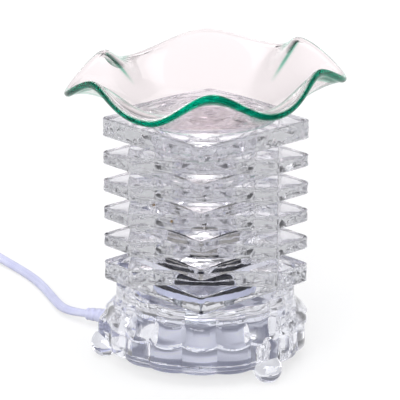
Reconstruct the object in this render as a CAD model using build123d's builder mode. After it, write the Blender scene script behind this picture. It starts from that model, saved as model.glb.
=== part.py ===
from build123d import *
import math
import os

# Electric wax melt warmer in clear glass: a fluted dish that lifts off a tower of glass tiles,
# a capsule lamp in the tower's bore, a pressed glass base on three ball feet, and its lead.
# Millimetres, +Z up, origin on the floor under the tower's axis, -Y towards the viewer.
# Angles are in degrees from +X, anticlockwise seen from above.

# Glass tiles: pointed ones show a corner to the front, crossed ones between them show a face
TILE_SIDE = 68.5
TILE_CORNER_RADIUS = 2.5
TILE_EDGE_CHAMFER = 0.6
END_TILE_THICKNESS = 9.0
POINTED_TILE_THICKNESS = 5.9
CROSSED_TILE_THICKNESS = 7.4
TILE_COUNT = 11
TILE_BORE_RADIUS = 23.5

# Pressed glass base: panelled wall, sloping shoulder, neck, three pilasters with ball feet
BASE_HEIGHT = 35.5
BASE_RADIUS = 47.5
BASE_RIM_HEIGHT = 6.0
BASE_RIM_ROLL = 1.2
BASE_WALL_TOP = 20.6
BASE_NECK_BOTTOM = 27.6
BASE_NECK_RADIUS = 42.0
BASE_TOP_THICKNESS = 6.0
BASE_CAVITY_RADIUS = 36.0
PANEL_COUNT = 18
PANEL_BULGE = 1.6
LEG_COUNT = 3
LEG_ANGLE = -51.0
LEG_RADIUS = 6.2
LEG_TOP = 21.6
LEG_CIRCLE_RADIUS = 44.5
FOOT_RADIUS = 6.6
FOOT_CIRCLE_RADIUS = 47.5
FOOT_FLAT_DEPTH = 0.5
COVER_THICKNESS = 1.5
COVER_LEDGE = 2.5
COVER_CLEARANCE = 0.3
COVER_SLOT_END = 11.0

# Fluted dish: a ground foot disc, a flat floor and a flared wall of even thickness
DISH_WALL = 3.0
DISH_FOOT_RADIUS = 28.0
DISH_FOOT_STEP = 0.4
DISH_FLOOR_RADIUS = 33.0
DISH_FLARE_POWER = 1.5
DISH_BEND = 0.15
DISH_SEAM_STEP = 0.1
DISH_SEAM_OVERLAP = 4.0
DISH_SECTIONS = 36
DISH_LOFTS = 3
DISH_PROFILE_STEPS = 5
# Hand-slumped rim, at each crest and each trough in turn: angle, radius, and height of the underside
DISH_RIM_ANGLES = (-85, -60, -23, 6, 39, 61, 92, 129, 152, 176, 210, 249)
DISH_RIM_RADII = (58.0, 64.5, 58.0, 64.5, 58.0, 65.5, 58.5, 64.5, 58.0, 64.5, 58.0, 64.0)
DISH_RIM_HEIGHTS = (23.7, 14.5, 27.0, 16.2, 28.1, 18.2, 26.4, 12.6, 22.0, 8.0, 20.9, 11.7)

# Metalwork that clamps the lampholder through the top of the base
PLATE_CLEARANCE = 0.5
PLATE_THICKNESS = 1.2
PLATE_RIM_HEIGHT = 2.6
NIPPLE_RADIUS = 5.0
NIPPLE_BORE_RADIUS = 3.8
NIPPLE_CLEARANCE = 0.4
THREAD_CLEARANCE = 0.05
NIPPLE_STICK_OUT = 1.2
WASHER_RADIUS = 11.0
WASHER_THICKNESS = 1.2
NUT_ACROSS_FLATS = 14.0
NUT_THICKNESS = 3.5
COLLAR_HEIGHT = 5.0
FLANGE_THICKNESS = 1.2
FLANGE_OVERHANG = 0.3

# Two-pin capsule lampholder in white ceramic
HOLDER_RADIUS = 9.8
HOLDER_HEIGHT = 18.0
HOLDER_EDGE_CHAMFER = 1.2
PIN_SPACING = 9.0
PIN_WIDTH = 3.0
PIN_THICKNESS = 0.8
PIN_DEPTH = 7.5
PIN_CLEARANCE = 0.4
CONTACT_THICKNESS = 0.5
CONTACT_HEIGHT = 6.0
SLOT_DEPTH = 9.0
WIRE_RADIUS = 0.8
WIRE_CLEARANCE = 0.1
SCREW_OFFSET = 6.6
SCREW_RADIUS = 1.4
SCREW_HEAD_RADIUS = 2.4
SCREW_HEAD_HEIGHT = 1.6
SCREW_CLEARANCE = 0.2

# Capsule lamp
LAMP_SEAT_GAP = 0.3
LAMP_RADIUS = 6.6
LAMP_WALL = 0.9
LAMP_LENGTH = 36.5
PINCH_WIDTH = 12.6
PINCH_THICKNESS = 3.4
PINCH_HEIGHT = 9.0
PIN_EMBED = 3.0
FILAMENT_RADIUS = 0.35
FILAMENT_SPAN = 4.6
FILAMENT_HEIGHT = 14.0
FILAMENT_EMBED = 2.0

# Lead: where it leaves the base, its strain relief and its sizes
CORD_RADIUS = 2.3
CORD_SIDES = 8
EXIT_ANGLE = 150.0
EXIT_HEIGHT = 6.3
EXIT_DROOP = 5.0
RELIEF_RADIUS = 3.9
RELIEF_CLEARANCE = 0.3
RELIEF_BORE_CLEARANCE = 0.05
RELIEF_FLANGE_RADIUS = 5.0
RELIEF_FLANGE_THICKNESS = 1.6
RELIEF_FLANGE_GAP = 0.8
RELIEF_LENGTH = 20.5
RELIEF_TIP_WALL = 0.6

# In-line dimmer that lies on the floor beyond the view
DIMMER_CENTRE = (-165.0, 141.0)
DIMMER_HEADING = 168.0
DIMMER_LENGTH = 56.0
DIMMER_WIDTH = 25.0
DIMMER_HEIGHT = 15.2
DIMMER_WALL = 1.6
DIMMER_CORNER_RADIUS = 8.0
DIMMER_EDGE_CHAMFER = 1.5
DIMMER_CORD_GRIP = 6.0
DIMMER_CORD_CLEARANCE = 0.1
WHEEL_RADIUS = 7.2
WHEEL_WIDTH = 4.5
WHEEL_AXLE_HEIGHT = 9.8
WHEEL_AXLE_RADIUS = 1.5
WHEEL_GAP = 0.6
WHEEL_GRIP_COUNT = 20
WHEEL_GRIP_RADIUS = 0.45
AXLE_CLEARANCE = 0.05
AXLE_BEARING_LENGTH = 2.0
POST_WIDTH = 6.0
POTENTIOMETER_WIDTH = 9.0
POTENTIOMETER_DEPTH = 5.0
POTENTIOMETER_HEIGHT = 11.2
BOARD_LENGTH = 13.0
BOARD_WIDTH = 12.0
BOARD_THICKNESS = 1.6
BOARD_PLACE = (-12.5, -3.0)
DIMMER_SCREW_PLACES = ((17.5, -7.6), (-17.5, 7.6))
BOSS_RADIUS = 3.2
DIMMER_SCREW_RADIUS = 1.15
DIMMER_SCREW_HEAD_RADIUS = 2.1
DIMMER_SCREW_HEAD_HEIGHT = 1.5
DIMMER_SCREW_RECESS = 3.6
DIMMER_SCREW_TIP_GAP = 1.2

# Put-away coil: two layers, spiralling in below and out again above
COIL_CENTRE = (-190.7, 88.0)
COIL_OUTER_RADIUS = 35.9
COIL_PITCH = 5.8
COIL_LAYER_STEP = 5.6
COIL_INWARD_HALF_TURNS = 6
COIL_OUTWARD_HALF_TURNS = 5
COIL_START_ANGLE = 180.0
COIL_SIDES = 6
COIL_END_RUN = 22.0
TIE_THICKNESS = 0.6
TIE_WIDTH = 8.0
TIE_GAP = 0.2
TIE_SIDE_GAP = 0.9
TIE_ANGLE = -45.0

# Two-flat-blade plug
PLUG_LENGTH = 30.0
PLUG_WIDTH = 22.0
PLUG_FLOOR_GAP = 0.3
PLUG_REAR_WIDTH = 13.0
PLUG_REAR_THICKNESS = 11.0
PLUG_EDGE_RADIUS = 2.0
PLUG_BOOT_LENGTH = 16.0
PLUG_BOOT_WALL = 0.7
PLUG_BOOT_FLARE = 1.6
BLADE_SPACING = 12.7
BLADE_LENGTH = 17.0
BLADE_WIDTH = 6.3
BLADE_THICKNESS = 1.5
BLADE_EMBED = 8.0

# Hand-chosen points of the lead's free stretches, between the pieces that hold it
LEAD_FIRST_RUN = 8.0
LEAD_POINTS = (
    (-71.9, 44.75, 3.2),
    (-76.3, 54.8, 2.7),
    (-81.0, 66.9, 2.4),
    (-86.5, 79.8, 2.4),
    (-93.1, 92.2, 2.4),
    (-101.2, 104.2, 2.4),
    (-110.3, 115.5, 2.4),
    (-120.4, 126.0, 4.6),
)
TAIL_POINTS = (
    (-210.4, 145.9, 6.2),
    (-219.6, 139.0, 4.9),
    (-225.0, 128.8, 3.9),
    (-226.4, 117.0, 3.3),
)
DIMMER_CORD_RUN = 7.0
TAIL_LAST_RUN = 11.5
INNER_CORD_BEND = 19.5

# Places that follow from the sizes above
panel_step = 360 / PANEL_COUNT
cover_radius = BASE_CAVITY_RADIUS + COVER_LEDGE
cover_top = BASE_RIM_HEIGHT + COVER_THICKNESS
foot_height = FOOT_RADIUS - FOOT_FLAT_DEPTH
washer_top = BASE_HEIGHT - BASE_TOP_THICKNESS
nut_top = washer_top - WASHER_THICKNESS
nut_bottom = nut_top - NUT_THICKNESS
nipple_bottom = nut_bottom - NIPPLE_STICK_OUT
plate_top = BASE_HEIGHT + PLATE_THICKNESS
flange_bottom = plate_top + COLLAR_HEIGHT
holder_bottom = flange_bottom + FLANGE_THICKNESS
holder_top = holder_bottom + HOLDER_HEIGHT
slot_bottom = holder_top - SLOT_DEPTH
lamp_bottom = holder_top + LAMP_SEAT_GAP
relief_inner_length = BASE_RADIUS - BASE_CAVITY_RADIUS + RELIEF_FLANGE_GAP + RELIEF_FLANGE_THICKNESS

os.makedirs("parts", exist_ok=True)


def polar(radius, angle):
    """Point at a radius and an angle from +X."""
    turn = math.radians(angle)
    return radius * math.cos(turn), radius * math.sin(turn)


def panel_outline(radius):
    """Closed ring of shallow convex panels, drawn as one arc each, filled."""
    valley = radius - PANEL_BULGE
    with BuildLine() as ring:
        for panel in range(PANEL_COUNT):
            middle = LEG_ANGLE + panel * panel_step
            ThreePointArc(
                polar(valley, middle - panel_step / 2),
                polar(radius, middle),
                polar(valley, middle + panel_step / 2),
            )
    make_face(ring.edges())


# Tower of tiles, each glued face to face on the one below
tile_bottom = BASE_HEIGHT
for number in range(1, TILE_COUNT + 1):
    pointed = number % 2 == 1
    if number in (1, TILE_COUNT):
        thickness = END_TILE_THICKNESS
    elif pointed:
        thickness = POINTED_TILE_THICKNESS
    else:
        thickness = CROSSED_TILE_THICKNESS
    with BuildPart() as glass_tile:
        with BuildSketch(Plane.XY.offset(tile_bottom)):
            RectangleRounded(TILE_SIDE, TILE_SIDE, TILE_CORNER_RADIUS, rotation=45 if pointed else 0)
            Circle(TILE_BORE_RADIUS, mode=Mode.SUBTRACT)
        extrude(amount=thickness)
        flat_faces = glass_tile.faces().filter_by(Axis.Z)
        chamfer([edge for face in flat_faces for edge in face.outer_wire().edges()], TILE_EDGE_CHAMFER)
    glass_tile.part.label = f"glass_tile_{number:02d}"
    export_step(glass_tile.part, f"parts/glass_tile_{number:02d}.step")
    tile_bottom += thickness
tower_top = tile_bottom


# Dish: wall sections stand round the axis, each drawn to the rim it reaches, with a disc for a floor
def rim_at(angle):
    """Radius and underside height of the rim at an angle, eased from crest to trough."""
    for place, start in enumerate(DISH_RIM_ANGLES):
        following = (place + 1) % len(DISH_RIM_ANGLES)
        span = (DISH_RIM_ANGLES[following] - start) % 360
        along = (angle - start) % 360
        if along <= span:
            ease = (1 - math.cos(math.pi * along / span)) / 2
            radius = DISH_RIM_RADII[place] * (1 - ease) + DISH_RIM_RADII[following] * ease
            return radius, DISH_RIM_HEIGHTS[place] * (1 - ease) + DISH_RIM_HEIGHTS[following] * ease


rim_mean_height = sum(DISH_RIM_HEIGHTS) / len(DISH_RIM_HEIGHTS)


def dish_rise(radius, rim_radius, rim_height):
    """Rise of the underside: flat floor, rounded bend, flared bowl, flutes growing outward."""
    reach = (radius - DISH_FLOOR_RADIUS) / (rim_radius - DISH_FLOOR_RADIUS)
    if reach < -DISH_BEND:
        climb = 0.0
    elif reach > DISH_BEND:
        climb = reach
    else:
        climb = (reach + DISH_BEND) ** 2 / (4 * DISH_BEND)
    bowl = rim_mean_height * (1 - max(1 - climb, 0.0) ** DISH_FLARE_POWER)
    return bowl + (rim_height - rim_mean_height) * climb**2


def wall_section(angle):
    """Underside and upper side of the wall at an angle, as points of radius and height."""
    rim_radius, rim_height = rim_at(angle)
    flat_edge = DISH_FLOOR_RADIUS - DISH_BEND * (rim_radius - DISH_FLOOR_RADIUS)
    stride = (rim_radius - flat_edge) / DISH_PROFILE_STEPS
    radii = [DISH_FOOT_RADIUS - DISH_SEAM_OVERLAP]
    radii += [flat_edge + stride * step for step in range(DISH_PROFILE_STEPS + 1)]
    probe = stride / 100
    low_side = []
    high_side = []
    for radius in radii:
        rise = dish_rise(radius, rim_radius, rim_height)
        before = dish_rise(radius - probe, rim_radius, rim_height)
        after = dish_rise(radius + probe, rim_radius, rim_height)
        lean = math.atan2(after - before, 2 * probe)
        height = tower_top + DISH_FOOT_STEP + rise
        low_side.append((radius, height))
        high_side.append((radius - DISH_WALL * math.sin(lean), height + DISH_WALL * math.cos(lean)))
    return low_side, high_side


with BuildPart() as glass_dish:
    sections_each = DISH_SECTIONS // DISH_LOFTS
    for part_of_ring in range(DISH_LOFTS):
        for section in range(sections_each + 1):
            angle = DISH_RIM_ANGLES[0] + (part_of_ring * sections_each + section) * 360 / DISH_SECTIONS
            outward = Vector(*polar(1, angle))
            with BuildSketch(Plane(origin=(0, 0, 0), x_dir=outward, z_dir=outward.cross(Vector(0, 0, 1)))):
                with BuildLine():
                    low_side, high_side = wall_section(angle)
                    Spline(*low_side)
                    Line(low_side[-1], high_side[-1])
                    Spline(*reversed(high_side))
                    Line(high_side[0], low_side[0])
                make_face()
        loft()
    with BuildSketch(Plane.XY.offset(tower_top)):
        Circle(DISH_FOOT_RADIUS)
    extrude(amount=DISH_FOOT_STEP + DISH_WALL - DISH_SEAM_STEP)
glass_dish.part.label = "glass_dish"
export_step(glass_dish.part, "parts/glass_dish.step")

# Base: rolled rim, panelled wall cut by a conical shoulder, neck, pilasters, feet, cavity and holes
exit_turn = math.radians(EXIT_ANGLE)
exit_fall = math.radians(EXIT_DROOP)
exit_direction = Vector(
    math.cos(exit_turn) * math.cos(exit_fall),
    math.sin(exit_turn) * math.cos(exit_fall),
    -math.sin(exit_fall),
)
exit_point = Vector(*polar(BASE_RADIUS, EXIT_ANGLE), EXIT_HEIGHT)
exit_plane = Plane(origin=exit_point, x_dir=(-math.sin(exit_turn), math.cos(exit_turn), 0), z_dir=exit_direction)
notch_radius = RELIEF_RADIUS + RELIEF_CLEARANCE
notch_length = BASE_RADIUS - BASE_CAVITY_RADIUS + 2 * LEG_RADIUS
with BuildPart() as glass_base:
    with BuildSketch(Plane.XY.offset(BASE_RIM_HEIGHT)):
        panel_outline(BASE_RADIUS - BASE_RIM_ROLL)
    with BuildSketch(Plane.XY.offset(BASE_RIM_HEIGHT + BASE_RIM_ROLL)):
        panel_outline(BASE_RADIUS)
    loft(ruled=True)
    with BuildSketch(Plane.XY.offset(BASE_RIM_HEIGHT + BASE_RIM_ROLL)):
        panel_outline(BASE_RADIUS)
    extrude(amount=BASE_NECK_BOTTOM - BASE_RIM_HEIGHT - BASE_RIM_ROLL)
    with BuildSketch(Plane.XZ):
        with BuildLine():
            shoulder_slope = (BASE_NECK_BOTTOM - BASE_WALL_TOP) / (BASE_RADIUS - BASE_NECK_RADIUS + PANEL_BULGE)
            beyond = BASE_RADIUS + PANEL_BULGE
            Polyline(
                (beyond, BASE_WALL_TOP - PANEL_BULGE * shoulder_slope),
                (BASE_NECK_RADIUS - PANEL_BULGE, BASE_NECK_BOTTOM),
                (beyond, BASE_NECK_BOTTOM),
                close=True,
            )
        make_face()
    revolve(axis=Axis.Z, mode=Mode.SUBTRACT)
    with BuildSketch(Plane.XY.offset(BASE_WALL_TOP)):
        panel_outline(BASE_NECK_RADIUS)
    extrude(amount=BASE_HEIGHT - BASE_WALL_TOP)
    with BuildSketch(Plane.XY.offset(foot_height)):
        with PolarLocations(LEG_CIRCLE_RADIUS, LEG_COUNT, start_angle=LEG_ANGLE):
            Circle(LEG_RADIUS)
    extrude(amount=LEG_TOP - LEG_RADIUS - foot_height)
    with PolarLocations(LEG_CIRCLE_RADIUS, LEG_COUNT, start_angle=LEG_ANGLE):
        with Locations((0, 0, LEG_TOP - LEG_RADIUS)):
            Sphere(LEG_RADIUS)
    with PolarLocations(FOOT_CIRCLE_RADIUS, LEG_COUNT, start_angle=LEG_ANGLE):
        with Locations((0, 0, foot_height)):
            Sphere(FOOT_RADIUS)
    split(bisect_by=Plane.XY, keep=Keep.TOP)
    with BuildSketch(Plane.XY):
        Circle(cover_radius)
    extrude(amount=cover_top, mode=Mode.SUBTRACT)
    with BuildSketch(Plane.XY):
        Circle(BASE_CAVITY_RADIUS)
    extrude(amount=washer_top, mode=Mode.SUBTRACT)
    with BuildSketch(Plane.XY):
        Circle(NIPPLE_RADIUS + NIPPLE_CLEARANCE)
    extrude(amount=BASE_HEIGHT, mode=Mode.SUBTRACT)
    with BuildSketch(exit_plane.offset(-notch_length)):
        Circle(notch_radius)
        with Locations((0, -EXIT_HEIGHT / 2)):
            Rectangle(2 * notch_radius, EXIT_HEIGHT)
    extrude(amount=2 * notch_length, mode=Mode.SUBTRACT)
glass_base.part.label = "glass_base"
export_step(glass_base.part, "parts/glass_base.step")

# Plastic disc glued under the cavity, with an open slot over the lead
with BuildPart() as base_cover:
    with BuildSketch(Plane.XY.offset(BASE_RIM_HEIGHT)):
        Circle(cover_radius - COVER_CLEARANCE)
        slot_width = 2 * (RELIEF_FLANGE_RADIUS + COVER_CLEARANCE)
        slot_length = cover_radius - COVER_SLOT_END + slot_width
        with PolarLocations(COVER_SLOT_END + slot_length / 2, 1, start_angle=EXIT_ANGLE):
            SlotOverall(slot_length, slot_width, mode=Mode.SUBTRACT)
    extrude(amount=COVER_THICKNESS)
base_cover.part.label = "base_cover"
export_step(base_cover.part, "parts/base_cover.step")

# Black pressed steel plate on the base, inside the lowest tile's bore, with a turned-up rim
plate_radius = TILE_BORE_RADIUS - PLATE_CLEARANCE
with BuildPart() as socket_plate:
    with BuildSketch(Plane.XY.offset(BASE_HEIGHT)):
        Circle(plate_radius)
    extrude(amount=PLATE_RIM_HEIGHT)
    with BuildSketch(Plane.XY.offset(plate_top)):
        Circle(plate_radius - PLATE_THICKNESS)
    extrude(amount=PLATE_RIM_HEIGHT, mode=Mode.SUBTRACT)
    with BuildSketch(Plane.XY.offset(BASE_HEIGHT)):
        Circle(NIPPLE_RADIUS + NIPPLE_CLEARANCE)
    extrude(amount=PLATE_THICKNESS, mode=Mode.SUBTRACT)
socket_plate.part.label = "socket_plate"
export_step(socket_plate.part, "parts/socket_plate.step")

# Threaded tube that carries the wires and draws the bracket and the nut together
with BuildPart() as threaded_nipple:
    with BuildSketch(Plane.XY.offset(nipple_bottom)):
        Circle(NIPPLE_RADIUS)
        Circle(NIPPLE_BORE_RADIUS, mode=Mode.SUBTRACT)
    extrude(amount=flange_bottom - nipple_bottom)
threaded_nipple.part.label = "threaded_nipple"
export_step(threaded_nipple.part, "parts/threaded_nipple.step")

# Washer and lock nut under the top of the base
with BuildPart() as clamp_washer:
    with BuildSketch(Plane.XY.offset(nut_top)):
        Circle(WASHER_RADIUS)
        Circle(NIPPLE_RADIUS + NIPPLE_CLEARANCE, mode=Mode.SUBTRACT)
    extrude(amount=WASHER_THICKNESS)
clamp_washer.part.label = "clamp_washer"
export_step(clamp_washer.part, "parts/clamp_washer.step")

with BuildPart() as lock_nut:
    with BuildSketch(Plane.XY.offset(nut_bottom)):
        RegularPolygon(NUT_ACROSS_FLATS / 2, 6, major_radius=False)
        Circle(NIPPLE_RADIUS + THREAD_CLEARANCE, mode=Mode.SUBTRACT)
    extrude(amount=NUT_THICKNESS)
lock_nut.part.label = "lock_nut"
export_step(lock_nut.part, "parts/lock_nut.step")

# Hexagon collar with a flange, screwed on the nipple over the plate
with BuildPart() as holder_bracket:
    with BuildSketch(Plane.XY.offset(plate_top)):
        RegularPolygon(NUT_ACROSS_FLATS / 2, 6, major_radius=False)
    extrude(amount=COLLAR_HEIGHT)
    with BuildSketch(Plane.XY.offset(flange_bottom)):
        Circle(HOLDER_RADIUS + FLANGE_OVERHANG)
        with Locations((SCREW_OFFSET, 0), (-SCREW_OFFSET, 0)):
            Circle(SCREW_RADIUS + THREAD_CLEARANCE, mode=Mode.SUBTRACT)
    extrude(amount=FLANGE_THICKNESS)
    with BuildSketch(Plane.XY.offset(plate_top)):
        Circle(NIPPLE_RADIUS + THREAD_CLEARANCE)
    extrude(amount=COLLAR_HEIGHT + FLANGE_THICKNESS, mode=Mode.SUBTRACT)
holder_bracket.part.label = "holder_bracket"
export_step(holder_bracket.part, "parts/holder_bracket.step")

# Ceramic lampholder: two pin slots from above, two wire holes from below, two screw holes
pin_places = ((0, PIN_SPACING / 2), (0, -PIN_SPACING / 2))
slot_size = PIN_THICKNESS + 2 * PIN_CLEARANCE + 2 * CONTACT_THICKNESS
screw_places = ((SCREW_OFFSET, 0), (-SCREW_OFFSET, 0))
with BuildPart() as lampholder_body:
    with BuildSketch(Plane.XY.offset(holder_bottom)):
        Circle(HOLDER_RADIUS)
    extrude(amount=HOLDER_HEIGHT)
    chamfer(lampholder_body.edges().group_by(Axis.Z)[-1], HOLDER_EDGE_CHAMFER)
    with BuildSketch(Plane.XY.offset(slot_bottom)):
        with Locations(*pin_places):
            Rectangle(PIN_WIDTH + 2 * PIN_CLEARANCE, slot_size)
    extrude(amount=SLOT_DEPTH, mode=Mode.SUBTRACT)
    with BuildSketch(Plane.XY.offset(holder_bottom)):
        with Locations(*pin_places):
            Circle(WIRE_RADIUS + WIRE_CLEARANCE)
    extrude(amount=HOLDER_HEIGHT - SLOT_DEPTH, mode=Mode.SUBTRACT)
    with BuildSketch(Plane.XY.offset(holder_bottom)):
        with Locations(*screw_places):
            Circle(SCREW_RADIUS + SCREW_CLEARANCE)
    extrude(amount=HOLDER_HEIGHT, mode=Mode.SUBTRACT)
    with BuildSketch(Plane.XY.offset(holder_top - SCREW_HEAD_HEIGHT)):
        with Locations(*screw_places):
            Circle(SCREW_HEAD_RADIUS + SCREW_CLEARANCE)
    extrude(amount=SCREW_HEAD_HEIGHT, mode=Mode.SUBTRACT)
lampholder_body.part.label = "lampholder_body"
export_step(lampholder_body.part, "parts/lampholder_body.step")

# Spring contacts: a sole plate and one leaf on each side of a pin, in each slot
with BuildPart() as lampholder_contacts:
    with BuildSketch(Plane.XY.offset(slot_bottom)):
        with Locations(*pin_places):
            Rectangle(PIN_WIDTH, slot_size)
    extrude(amount=CONTACT_HEIGHT)
    with BuildSketch(Plane.XY.offset(slot_bottom + CONTACT_THICKNESS)):
        with Locations(*pin_places):
            Rectangle(PIN_WIDTH, slot_size - 2 * CONTACT_THICKNESS)
    extrude(amount=CONTACT_HEIGHT, mode=Mode.SUBTRACT)
lampholder_contacts.part.label = "lampholder_contacts"
export_step(lampholder_contacts.part, "parts/lampholder_contacts.step")

# Two insulated wires from the lead's end up to the contacts
with BuildPart() as holder_wires:
    with BuildSketch(Plane.XY.offset(holder_bottom)):
        with Locations(*pin_places):
            Circle(WIRE_RADIUS)
    extrude(amount=HOLDER_HEIGHT - SLOT_DEPTH)
holder_wires.part.label = "holder_wires"
export_step(holder_wires.part, "parts/holder_wires.step")

# Two screws through the ceramic into the flange
with BuildPart() as holder_screws:
    with BuildSketch(Plane.XY.offset(flange_bottom)):
        with Locations(*screw_places):
            Circle(SCREW_RADIUS)
    extrude(amount=holder_top - flange_bottom)
    with BuildSketch(Plane.XY.offset(holder_top - SCREW_HEAD_HEIGHT)):
        with Locations(*screw_places):
            Circle(SCREW_HEAD_RADIUS)
    extrude(amount=SCREW_HEAD_HEIGHT)
holder_screws.part.label = "holder_screws"
export_step(holder_screws.part, "parts/holder_screws.step")

# Lamp: flat pinch and a hollow domed capsule, with pockets where the pins and leads are sealed in
filament_foot = lamp_bottom + PINCH_HEIGHT - FILAMENT_EMBED
filament_places = ((0, FILAMENT_SPAN / 2), (0, -FILAMENT_SPAN / 2))
with BuildPart() as lamp_capsule:
    with BuildSketch(Plane.XZ):
        with BuildLine():
            shoulder = lamp_bottom + PINCH_HEIGHT
            crown = lamp_bottom + LAMP_LENGTH
            Line((0, shoulder), (LAMP_RADIUS / 2, shoulder))
            Line((LAMP_RADIUS / 2, shoulder), (LAMP_RADIUS, shoulder + LAMP_RADIUS / 2))
            Line((LAMP_RADIUS, shoulder + LAMP_RADIUS / 2), (LAMP_RADIUS, crown - LAMP_RADIUS))
            RadiusArc((LAMP_RADIUS, crown - LAMP_RADIUS), (0, crown), -LAMP_RADIUS)
            Line((0, crown), (0, shoulder))
        make_face()
    revolve(axis=Axis.Z)
    with BuildSketch(Plane.XY.offset(lamp_bottom)):
        RectangleRounded(PINCH_THICKNESS, PINCH_WIDTH, PINCH_THICKNESS / 4)
    extrude(amount=PINCH_HEIGHT + LAMP_WALL)
    with BuildSketch(Plane.XZ):
        with BuildLine():
            hollow_radius = LAMP_RADIUS - LAMP_WALL
            hollow_foot = shoulder + 2 * LAMP_WALL
            hollow_crown = crown - LAMP_WALL
            Line((0, hollow_foot), (hollow_radius, hollow_foot + hollow_radius / 2))
            Line((hollow_radius, hollow_foot + hollow_radius / 2), (hollow_radius, hollow_crown - hollow_radius))
            RadiusArc((hollow_radius, hollow_crown - hollow_radius), (0, hollow_crown), -hollow_radius)
            Line((0, hollow_crown), (0, hollow_foot))
        make_face()
    revolve(axis=Axis.Z, mode=Mode.SUBTRACT)
    with BuildSketch(Plane.XY.offset(lamp_bottom)):
        with Locations(*pin_places):
            Rectangle(PIN_WIDTH, PIN_THICKNESS)
    extrude(amount=PIN_EMBED, mode=Mode.SUBTRACT)
    with BuildSketch(Plane.XY.offset(filament_foot)):
        with Locations(*filament_places):
            Circle(FILAMENT_RADIUS)
    extrude(amount=FILAMENT_HEIGHT / 2, mode=Mode.SUBTRACT)
lamp_capsule.part.label = "lamp_capsule"
export_step(lamp_capsule.part, "parts/lamp_capsule.step")

with BuildPart() as lamp_pins:
    with BuildSketch(Plane.XY.offset(lamp_bottom - PIN_DEPTH)):
        with Locations(*pin_places):
            Rectangle(PIN_WIDTH, PIN_THICKNESS)
    extrude(amount=PIN_DEPTH + PIN_EMBED)
lamp_pins.part.label = "lamp_pins"
export_step(lamp_pins.part, "parts/lamp_pins.step")

# Filament: one wire up from the pinch, across the capsule and down again
filament_top = filament_foot + FILAMENT_HEIGHT
with BuildPart() as lamp_filament:
    with BuildLine():
        FilletPolyline(
            (0, FILAMENT_SPAN / 2, filament_foot),
            (0, FILAMENT_SPAN / 2, filament_top),
            (0, -FILAMENT_SPAN / 2, filament_top),
            (0, -FILAMENT_SPAN / 2, filament_foot),
            radius=FILAMENT_SPAN / 3,
        )
    with BuildSketch(Plane.XY.offset(filament_foot)):
        with Locations((0, FILAMENT_SPAN / 2)):
            RegularPolygon(FILAMENT_RADIUS, CORD_SIDES)
    sweep()
lamp_filament.part.label = "lamp_filament"
export_step(lamp_filament.part, "parts/lamp_filament.step")

# Strain relief: a bush through the notch, two flanges and a tapered boot, turned about the lead
with BuildPart() as strain_relief:
    with BuildSketch(Plane(origin=exit_point, x_dir=exit_plane.x_dir, z_dir=exit_plane.y_dir.reverse())):
        with BuildLine():
            relief_bore = CORD_RADIUS + RELIEF_BORE_CLEARANCE
            relief_tip = relief_bore + RELIEF_TIP_WALL
            flange_start = -relief_inner_length
            flange_stop = flange_start + RELIEF_FLANGE_THICKNESS
            collar_stop = RELIEF_FLANGE_GAP + RELIEF_FLANGE_THICKNESS
            Polyline(
                (relief_bore, flange_start),
                (RELIEF_FLANGE_RADIUS, flange_start),
                (RELIEF_FLANGE_RADIUS, flange_stop),
                (RELIEF_RADIUS, flange_stop),
                (RELIEF_RADIUS, RELIEF_FLANGE_GAP),
                (RELIEF_FLANGE_RADIUS, RELIEF_FLANGE_GAP),
                (RELIEF_FLANGE_RADIUS, collar_stop),
                (RELIEF_RADIUS, collar_stop),
                (relief_tip, RELIEF_LENGTH),
                (relief_bore, RELIEF_LENGTH),
                close=True,
            )
        make_face()
    revolve(axis=Axis(exit_point, exit_direction))
strain_relief.part.label = "strain_relief"
export_step(strain_relief.part, "parts/strain_relief.step")


# Lead: tubes on straight runs joined by the largest tangent arcs that fit
def run_radii(points):
    """Arc radius at each corner: 0.45 of the shorter run over the tangent of half the turn."""
    radii = []
    for before, corner, after in zip(points, points[1:], points[2:]):
        arriving = Vector(*corner) - Vector(*before)
        leaving = Vector(*after) - Vector(*corner)
        half_turn = math.radians(arriving.get_angle(leaving)) / 2
        radii.append(0.45 * min(arriving.length, leaving.length) / math.tan(half_turn))
    return radii


def say_volume(name, tube, route, sides):
    """Print a many-sided tube's length, and its volume over its section times that length."""
    length = route.wire().length
    section_area = sides / 2 * math.sin(2 * math.pi / sides) * CORD_RADIUS**2
    print(name, "length", round(length, 1), "ratio", round(tube.part.volume / (section_area * length), 4))


def as_tuple(vector):
    """Coordinates of a vector as plain numbers."""
    return vector.X, vector.Y, vector.Z


dimmer_turn = math.radians(DIMMER_HEADING)
dimmer_axis = Vector(math.cos(dimmer_turn), math.sin(dimmer_turn), 0)
dimmer_middle = Vector(*DIMMER_CENTRE, DIMMER_HEIGHT / 2)
dimmer_entry = dimmer_middle - dimmer_axis * (DIMMER_LENGTH / 2)
dimmer_exit = dimmer_middle + dimmer_axis * (DIMMER_LENGTH / 2)
relief_end = exit_point + exit_direction * RELIEF_LENGTH

# Inside the base: down the nipple, round one bend to the strain relief and through it
inner_corner = (0.0, 0.0, EXIT_HEIGHT + BASE_RADIUS * math.tan(exit_fall))
inner_points = [(0.0, 0.0, flange_bottom), inner_corner, as_tuple(relief_end)]
with BuildPart() as cord_inner:
    with BuildLine() as inner_route:
        FilletPolyline(*inner_points, radius=INNER_CORD_BEND)
    with BuildSketch(Plane(origin=inner_points[0], z_dir=(0, 0, -1))):
        RegularPolygon(CORD_RADIUS, CORD_SIDES)
    sweep()
say_volume("cord_inner", cord_inner, inner_route, CORD_SIDES)
cord_inner.part.label = "cord_inner"
export_step(cord_inner.part, "parts/cord_inner.step")

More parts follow.
